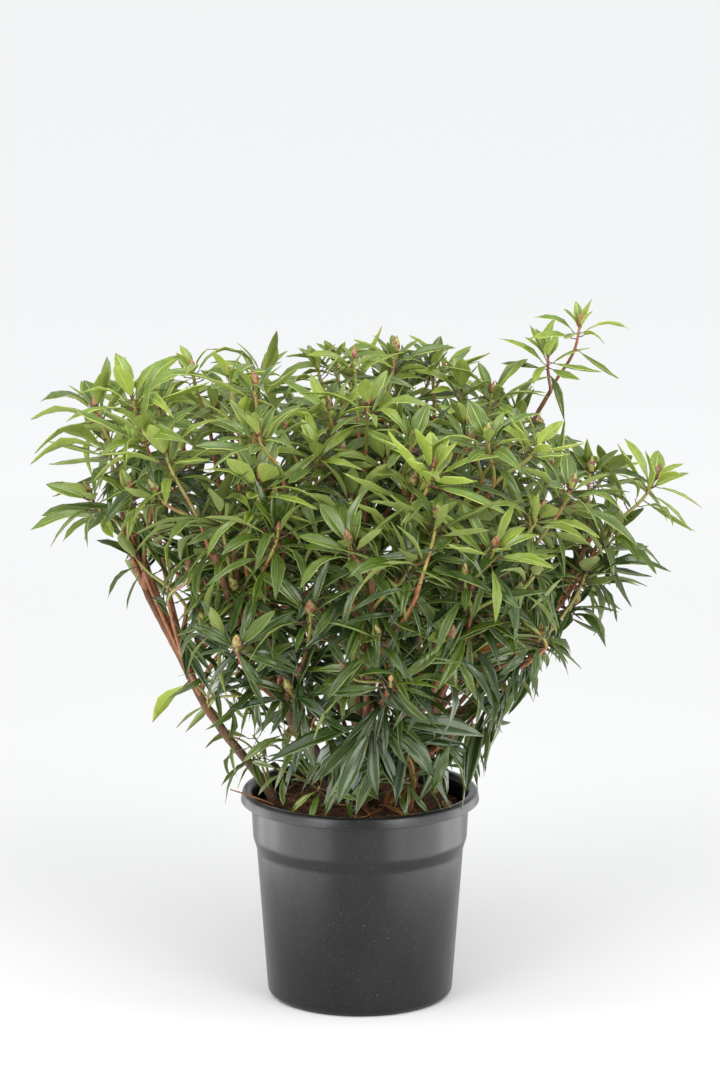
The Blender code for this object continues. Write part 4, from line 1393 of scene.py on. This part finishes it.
def tip_whorl(shoot, length, draw):
    """Two to four short broad leaves stand round the bud, and long narrow ones spread below."""
    level, whorl = shoot.level, WHORLS[shoot.level]
    hub = shoot.clear and level == "low"
    age = "deep" if hub else age_and_painted_light_of(shoot.path[-1], 0, draw)
    if level == "near_soil":
        age = draw.choice(("fresh", "mature"))
    if level == "leader":
        age = "young"
    tint = draw.randrange(TINTS)
    phase = draw.uniform(0, math.tau)
    upright = draw.randint(*UPRIGHT_COUNT) if level not in ("low", "near_soil") else 0
    reach = whorl.length * (LOW_REACH if level == "low" and not hub else 1)
    if shoot.clear and level == "shoulder":
        reach *= CLEAR_REACH
    spreading = draw.randint(*(NEAR_SOIL_COUNT if level == "near_soil" else SPREADING_COUNT))
    for rank in range(upright + spreading):
        place, axis = point_on(shoot.path, 1 - (WHORL_DROP + LEAF_SPACING * rank) / length)
        if rank < upright:
            lean = whorl.inner + draw.uniform(*UPRIGHT_LEAN) + (PLUMP_LEAN if shoot.plump else 0)
            size = reach * whorl.upright * draw.uniform(*UPRIGHT_SIZE)
            width = whorl.width * whorl.broad * draw.uniform(*UPRIGHT_WIDTH)
            droop, bends = 0.0, UPRIGHT_BENDS
        else:
            lean = draw.uniform(*SPREADING_SHARE) * whorl.outer + draw.uniform(*SPREADING_LEAN)
            size = reach * draw.uniform(*SPREADING_SIZE)
            width = whorl.width * draw.uniform(*SPREADING_WIDTH) * (HUB_WIDTH if hub else 1)
            droop = whorl.droop + draw.uniform(-DROOP_SCATTER, DROOP_SCATTER)
            bends = SPREADING_BENDS
        leaf_tint = tint if draw.random() < SAME_TINT else draw.randrange(TINTS)
        form = (phase + rank * GOLDEN_ANGLE, lean, size, width, droop)
        add_leaf(level, place, axis, *form, age, bends, leaf_tint, shoot.clear, draw)


OLDER_LEAN, OLDER_SIZE, OLDER_WIDTH, OLDER_DROOP = (70, 112), (0.85, 1.25), (0.75, 1.00), (0.0, 0.30)
TURNING_SHARE = 0.012


def older_leaves(level, path, count, nearest, furthest, years, draw):
    """Leaves of earlier years: longer, narrower and more drooping, spaced down the wood."""
    whorl = WHORLS[level]
    length = path_length(path)
    age = "mature" if level == "near_soil" else age_and_painted_light_of(path[-1], years, draw)
    phase = draw.uniform(0, math.tau)
    for rank in range(count):
        place, axis = point_on(path, 1 - draw.uniform(nearest, furthest) / length)
        lean = draw.uniform(*OLDER_LEAN)
        size = whorl.length * draw.uniform(*OLDER_SIZE)
        width = whorl.width * draw.uniform(*OLDER_WIDTH)
        droop = whorl.droop + draw.uniform(*OLDER_DROOP)
        kind = "turning" if draw.random() < TURNING_SHARE else age
        form = (phase + rank * GOLDEN_ANGLE, lean, size, width, droop)
        add_leaf(level, place, axis, *form, kind, SPREADING_BENDS, draw.randrange(TINTS), False, draw)


# Leaves of earlier years, in metres down the wood from its tip: last year's, fewer on the high
# shoots, and two older sets on the forks, fewer on the high ones
SHOOT_SEED, FORK_SEED = 1000, 3000
HIGH_SHOOT, HIGH_SHOOT_LEAVES, SHOOT_LEAVES = 0.86, (0, 2), (3, 5)
SHOOT_SET_FROM, SHOOT_SET_TO, SHOOT_SET_SHARE, SHOOT_YEARS = 0.022, 0.070, 0.8, 0.5
HIGH_FORK, FEWER = 0.80, 2
LeafSet = namedtuple("LeafSet", "count nearest furthest years")
FORK_SETS = (LeafSet((5, 8), 0.0, 0.035, 1.0), LeafSet((4, 6), 0.035, 0.095, 1.6))
for index, shoot in enumerate(shoots):
    draw = random.Random(SHOOT_SEED + index)
    length = path_length(shoot.path)
    tip_whorl(shoot, length, draw)
    count = draw.randint(*(HIGH_SHOOT_LEAVES if shoot.path[-1].z > HIGH_SHOOT else SHOOT_LEAVES))
    furthest = min(SHOOT_SET_TO, length * SHOOT_SET_SHARE)
    older_leaves(shoot.level, shoot.path, count, SHOOT_SET_FROM, furthest, SHOOT_YEARS, draw)
for index, fork in enumerate(forks):
    draw = random.Random(FORK_SEED + index)
    if fork.mass.level == "leader":
        continue
    fewer = FEWER if fork.path[-1].z > HIGH_FORK else 0
    for kept in FORK_SETS:
        count = draw.randint(*kept.count) - fewer
        older_leaves(fork.mass.level, fork.path, count, kept.nearest, kept.furthest, kept.years, draw)

# One pale leaf hangs from the bare left stem. It faces away, so its young underside shows, lightened with
# painted light shining through it
PALE_LEAF_FOOT = Vector((-0.252, -0.010, 0.478))
PALE_LEAF_TIP = Vector((-0.306, -0.030, 0.428))
PALE_LEAF_FACE = Vector((0.3, 1.0, 0.5))
PALE_LEAF_WIDTH, PALE_LEAF_LENGTH = 0.27, 1.08
PALE_LEAF_BEND, PALE_LEAF_TINT = 4, 2
along = (PALE_LEAF_TIP - PALE_LEAF_FOOT).normalized()
across = along.cross(PALE_LEAF_FACE).normalized()
turn = Matrix((across, along, across.cross(along))).transposed().to_quaternion()
size = (PALE_LEAF_TIP - PALE_LEAF_FOOT).length
scale = (size * PALE_LEAF_WIDTH, size * PALE_LEAF_LENGTH, size)
leaves["young"].append(Placed(PALE_LEAF_FOOT, turn, scale, PALE_LEAF_BEND, PALE_LEAF_TINT))

# Dead leaves that lie curled on the soil, on a spiral from its middle to near the wall
FALLEN_COUNT, FALLEN_SEED = 16, 77
FALLEN_START, FALLEN_REACH, FALLEN_LIFT = 4.1, 0.135, 0.004
FALLEN_SIZE, FALLEN_WIDTH, FALLEN_ARCH = (0.045, 0.075), 0.30, 0.55
draw = random.Random(FALLEN_SEED)
for index in range(FALLEN_COUNT):
    angle = index * GOLDEN_ANGLE + FALLEN_START
    ring = FALLEN_REACH * math.sqrt((index + 0.5) / FALLEN_COUNT)
    place = around(angle, ring, soil_height(ring, angle) + FALLEN_LIFT)
    turn = Quaternion(UP, draw.uniform(0, math.tau)) @ Quaternion(LENGTHWAYS, draw.choice((0, math.pi)))
    size = draw.uniform(*FALLEN_SIZE)
    scale = (size * FALLEN_WIDTH, size, size * FALLEN_ARCH)
    leaves["fallen"].append(Placed(place, turn, scale, FALLEN_BEND, draw.randrange(TINTS)))


def leaf_tree():
    """A tree that sets a leaf on each point and paints blade, lines, underside and stalk."""
    tree = Tree("leaves_in_whorls")
    forms = [tree.given(f"Leaf {k}", "Object") for k in range(len(LEAF_BENDS))]
    blades = [tree.given(f"Blade {k}", "Material") for k in range(TINTS)]
    rest = [tree.given(name, "Material") for name in ("Lines", "Underside", "Stalk")]
    kinds = tree.tree.nodes.new("GeometryNodeJoinGeometry")
    for form in reversed(forms):
        info = tree.node("GeometryNodeObjectInfo", Object=form, As_Instance=True)
        tree.tree.links.new(info.outputs["Geometry"], kinds.inputs[0])
    placed = tree.node(
        "GeometryNodeInstanceOnPoints",
        Points=tree.geometry,
        Instance=kinds.outputs[0],
        Pick_Instance=True,
        Instance_Index=tree.named("form", "INT"),
        Rotation=tree.named("turn", "QUATERNION"),
        Scale=tree.named("size", "FLOAT_VECTOR"),
    )
    tree.realize(placed)

    def equals(name, value):
        made = tree.node("FunctionNodeCompare", {"data_type": "INT", "operation": "EQUAL"})
        tree.feed(made.inputs[2], tree.named(name, "INT"))
        tree.feed(made.inputs[3], value)
        return made.outputs[0]

    for index, blade in enumerate(blades):
        both = tree.node("FunctionNodeBooleanMath", {"operation": "AND"})
        tree.feed(both.inputs[0], equals("part", UPPER))
        tree.feed(both.inputs[1], equals("tint", index))
        tree.paint(blade, both.outputs[0])
    for material, kind in zip(rest, (LINE, UNDER, STALK)):
        tree.paint(material, equals("part", kind))
    return tree


def set_points(name, group):
    """A mesh of one point for each item, with the attributes that the tree reads."""
    mesh = bpy.data.meshes.new(name)
    mesh.from_pydata([item.place for item in group], [], [])
    for attribute, kind, key, values in (
        ("turn", "QUATERNION", "value", [part for item in group for part in item.turn]),
        ("size", "FLOAT_VECTOR", "vector", [part for item in group for part in item.scale]),
        ("form", "INT", "value", [item.shape for item in group]),
        ("tint", "INT", "value", [item.tint for item in group]),
    ):
        mesh.attributes.new(attribute, kind, "POINT").data.foreach_set(key, values)
    return plain_object(name, mesh)


MOTTLE_DARK, MOTTLE_LIGHT = 0.32, 0.68
RIND_GRAIN_HEIGHT = 0.00035


def mottled(name, colour, roughness, mottle):
    """A finish whose colour wavers about its tone, with a fine grain."""
    shader = Shader(name, colour, roughness)
    light = tuple(min(1, part * (1 + mottle)) for part in colour)
    dark = tuple(part * (1 - mottle) for part in colour)
    shader.colour(shader.ramp(shader.noise(scale=85), (MOTTLE_DARK, dark), (MOTTLE_LIGHT, light)))
    shader.bump((shader.noise(scale=340, detail=2), RIND_GRAIN_HEIGHT))
    return shader.material


def dressed(points, shapes, blades, lines, underside, stalk):
    """Sets the shapes on the points and paints their parts."""
    return whorl_tree.run(
        points,
        **{f"Leaf_{k}": form for k, form in enumerate(shapes)},
        **{f"Blade_{k}": blade for k, blade in enumerate(blades)},
        Lines=lines,
        Underside=underside,
        Stalk=stalk,
    )


BLADE_MOTTLE, LINE_MOTTLE, STALK_MOTTLE = 0.16, 0.10, 0.25
LINE_ROUGHNESS, UNDERSIDE_ROUGHNESS, STALK_ROUGHNESS = 0.50, 0.62, 0.50
stalk_finish = mottled("leaf_stalk", STALK_COLOUR, STALK_ROUGHNESS, STALK_MOTTLE)
whorl_tree = leaf_tree()
for age, look in AGES.items():
    blades = [
        mottled(f"leaf_{age}_{k}", tint, look.roughness, BLADE_MOTTLE) for k, tint in enumerate(look.tints)
    ]
    lines = mottled(f"leaf_{age}_lines", look.line, LINE_ROUGHNESS, LINE_MOTTLE)
    underside = mottled(f"leaf_{age}_underside", look.under, UNDERSIDE_ROUGHNESS, LINE_MOTTLE)
    for side, group in (
        ("left", [leaf for leaf in leaves[age] if leaf.place.x < 0]),
        ("right", [leaf for leaf in leaves[age] if leaf.place.x >= 0]),
    ):
        points = set_points(f"leaves_{age}_{side}", group)
        piece = dressed(points, leaf_shapes, blades, lines, underside, stalk_finish)
        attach(piece, "root")
for form in leaf_shapes:
    bpy.data.objects.remove(form)


# ------------------------------------------------------------------ buds
# Each shoot except the low ones and those near the soil ends in a bud of overlapping scales. Next year's
# flower buds are plump, pointed and brown-green, and the leaf buds at the top of the crown are small and
# rosy.

BUD_RINGS = ((0.00, 0.30), (0.16, 0.80), (0.34, 1.00), (0.52, 0.92), (0.70, 0.68), (0.87, 0.32), (1.00, 0.03))
BUD_SIDES = 7
BUD_FORMS = 5
BUD_LEAN = 0.05
BUD_SUNK = 0.001
BUD_SEED = 5000
SCALE_LAP = 0.13
# Shortest and longest, and narrowest and widest from the axis
PLUMP_BUD = ((0.024, 0.031), (0.0060, 0.0078))
SMALL_BUD = ((0.015, 0.022), (0.0036, 0.0052))
BUD_TINTS = {
    "brown_green": ((0.300, 0.270, 0.070), (0.250, 0.150, 0.055), (0.270, 0.290, 0.065)),
    "rosy": ((0.400, 0.120, 0.120), (0.430, 0.165, 0.100), (0.300, 0.080, 0.085)),
}
BUD_EDGES = {"brown_green": (0.200, 0.065, 0.040), "rosy": (0.340, 0.240, 0.070)}
BUD_FOOT = (0.110, 0.036, 0.028)


def bud_mesh(name, lean):
    """A pointed egg whose rings step in and out, so that its scales overlap."""
    shape = bmesh.new()
    part = shape.faces.layers.int.new("part")
    rings = []
    for index, (height, radius) in enumerate(BUD_RINGS):
        ring = []
        for side in range(BUD_SIDES):
            angle = math.tau * (side + 0.5 * (index % 2)) / BUD_SIDES
            lap = 1 + SCALE_LAP * (1 if (side + index) % 2 else -1)
            across = math.cos(angle) * radius * lap + lean * height**2
            ring.append(shape.verts.new((across, height, math.sin(angle) * radius * lap)))
        rings.append(ring)
    for low, high in zip(rings, rings[1:]):
        for side in range(BUD_SIDES):
            after = (side + 1) % BUD_SIDES
            kind = STALK if low is rings[0] else (LINE, UPPER, UPPER)[(side + 2 * rings.index(low)) % 3]
            shape.faces.new((low[side], low[after], high[after], high[side]))[part] = kind
    shape.faces.new(rings[0])[part] = UPPER
    shape.faces.new(list(reversed(rings[-1])))[part] = UPPER
    return closed_mesh(name, shape)


buds = {kind: [] for kind in BUD_TINTS}
for index, shoot in enumerate(shoots):
    draw = random.Random(BUD_SEED + index)
    if shoot.level in ("low", "near_soil"):
        continue
    tip, axis = point_on(shoot.path, 1)
    long, wide = (draw.uniform(*limits) for limits in PLUMP_BUD)
    if not shoot.plump:
        long, wide = (draw.uniform(*limits) for limits in SMALL_BUD)
    turn = LENGTHWAYS.rotation_difference(axis) @ Quaternion(LENGTHWAYS, draw.uniform(0, math.tau))
    kind = "brown_green" if shoot.plump else "rosy"
    form, tint = draw.randrange(BUD_FORMS), draw.randrange(TINTS)
    buds[kind].append(Placed(tip - axis * BUD_SUNK, turn, (wide, long, wide), form, tint))

SCALE_ROUGHNESS, BUD_FOOT_ROUGHNESS = 0.45, 0.55
SCALE_MOTTLE, EDGE_MOTTLE = 0.35, 0.25
bud_shapes = []
for index in range(len(LEAF_BENDS)):
    name = f"bud_shape_{index}"
    bud_shapes.append(plain_object(name, bud_mesh(name, BUD_LEAN * index)))
for kind, tints in BUD_TINTS.items():
    scales = [mottled(f"bud_{kind}_{k}", tint, SCALE_ROUGHNESS, SCALE_MOTTLE) for k, tint in enumerate(tints)]
    edges = mottled(f"bud_{kind}_edges", BUD_EDGES[kind], SCALE_ROUGHNESS, EDGE_MOTTLE)
    foot = mottled(f"bud_{kind}_foot", BUD_FOOT, BUD_FOOT_ROUGHNESS, EDGE_MOTTLE)
    piece = dressed(set_points("buds_" + kind, buds[kind]), bud_shapes, scales, edges, scales[0], foot)
    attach(piece, "root")
for form in bud_shapes:
    bpy.data.objects.remove(form)


# ------------------------------------------------------------------ floor and light
# A pale floor, painted darker near the pot as painted shade that offsets the lamps' light there, with a soft
# light overhead and one in front at each side. Low cards beside and behind the pot show only in its gloss.
# The room is bright above and behind the plant.

FLOOR_SIZE = 60.0
FLOOR_PAINT = (0.90, 0.90, 0.89)
# The floor near the pot is darker: painted shade that offsets the lamps' light falling there.
FLOOR_NEAR, FLOOR_FAR = (0.70, 0.70, 0.695), (0.86, 0.86, 0.855)
FLOOR_NEAR_REACH, FLOOR_FAR_REACH = 0.8, 4.0
floor_shape = bmesh.new()
bmesh.ops.create_grid(floor_shape, x_segments=1, y_segments=1, size=FLOOR_SIZE / 2)
floor_mesh = bpy.data.meshes.new("floor")
floor_shape.to_mesh(floor_mesh)
floor_shape.free()
floor_paint = Shader("pale_floor", FLOOR_PAINT, roughness=0.7, specular=0.0)
spot = floor_paint.nodes.new("ShaderNodeVectorMath")
spot.operation = "LENGTH"
floor_paint.link(floor_paint.coordinates(), spot.inputs[0])
# Painted shade near the pot fades out towards the far floor.
painted_shade_fade = floor_paint.nodes.new("ShaderNodeMapRange")
painted_shade_fade.inputs["From Min"].default_value = FLOOR_NEAR_REACH
painted_shade_fade.inputs["From Max"].default_value = FLOOR_FAR_REACH
floor_paint.link(spot.outputs["Value"], painted_shade_fade.inputs["Value"])
floor_paint.colour(floor_paint.mix(painted_shade_fade.outputs["Result"], FLOOR_NEAR, FLOOR_FAR))
floor = plain_object("floor", floor_mesh, floor_paint.material)


# One kind of light: how far out, forward and up it stands, the height on the pot's axis that it
# faces, its width and height, its power, and whether it shows in gloss alone
Light = namedtuple("Light", "place faces width height power gloss_only")
LIGHTS = {
    "overhead": Light((1.0, -0.9, 2.3), 0.60, 1.0, 0.8, 18, False),
    "front": Light((1.5, -2.0, 1.15), 0.45, 1.2, 0.9, 29, False),
    "card": Light((0.46, -0.22, 0.20), 0.15, 0.80, 0.40, 3.0, True),
    "rim": Light((0.62, 0.20, 0.17), 0.13, 0.50, 0.36, 1.4, True),
}
for side_name, side in (("left", -1), ("right", 1)):
    for kind, light in LIGHTS.items():
        name = f"{side_name}_{kind}"
        data = bpy.data.lights.new(name, "AREA")
        data.shape = "RECTANGLE"
        data.size = light.width
        data.size_y = light.height
        data.energy = light.power
        lamp = bpy.data.objects.new(name, data)
        out, forward, up = light.place
        lamp.location = (side * out, forward, up)
        lamp.visible_camera = False
        lamp.visible_diffuse = not light.gloss_only
        towards = Vector((0, 0, light.faces)) - lamp.location
        lamp.rotation_euler = towards.to_track_quat("-Z", "Y").to_euler()
        bpy.context.scene.collection.objects.link(lamp)

# The room's tone by direction, and where one tone passes into the next
ROOM_FRONT = (0.32, 0.325, 0.33, 1)
ROOM_BEHIND = (0.95, 0.96, 0.97, 1)
ROOM_ABOVE = (1.12, 1.13, 1.15, 1)
FRONT_TO_BEHIND = (-0.85, -0.05)
LEVEL_TO_ABOVE = (0.20, 0.70)
world = bpy.data.worlds.new("studio")
world.use_nodes = True
room = world.node_tree
facing = room.nodes.new("ShaderNodeSeparateXYZ")
room.links.new(room.nodes.new("ShaderNodeTexCoord").outputs["Generated"], facing.inputs[0])


def faded(axis, start, end):
    part = room.nodes.new("ShaderNodeMapRange")
    part.interpolation_type = "SMOOTHSTEP"
    part.inputs["From Min"].default_value = start
    part.inputs["From Max"].default_value = end
    room.links.new(facing.outputs[axis], part.inputs["Value"])
    return part.outputs["Result"]


def blended(factor, low, high):
    made = room.nodes.new("ShaderNodeMix")
    made.data_type = "RGBA"
    room.links.new(factor, made.inputs[0])
    for socket, colour in ((made.inputs[6], low), (made.inputs[7], high)):
        if isinstance(colour, tuple):
            socket.default_value = colour
        else:
            room.links.new(colour, socket)
    return made.outputs[2]


level_tone = blended(faded("Y", *FRONT_TO_BEHIND), ROOM_FRONT, ROOM_BEHIND)
room_tone = blended(faded("Z", *LEVEL_TO_ABOVE), level_tone, ROOM_ABOVE)
room.links.new(room_tone, room.nodes["Background"].inputs["Color"])
bpy.context.scene.world = world
bpy.context.scene.view_settings.view_transform = "Standard"
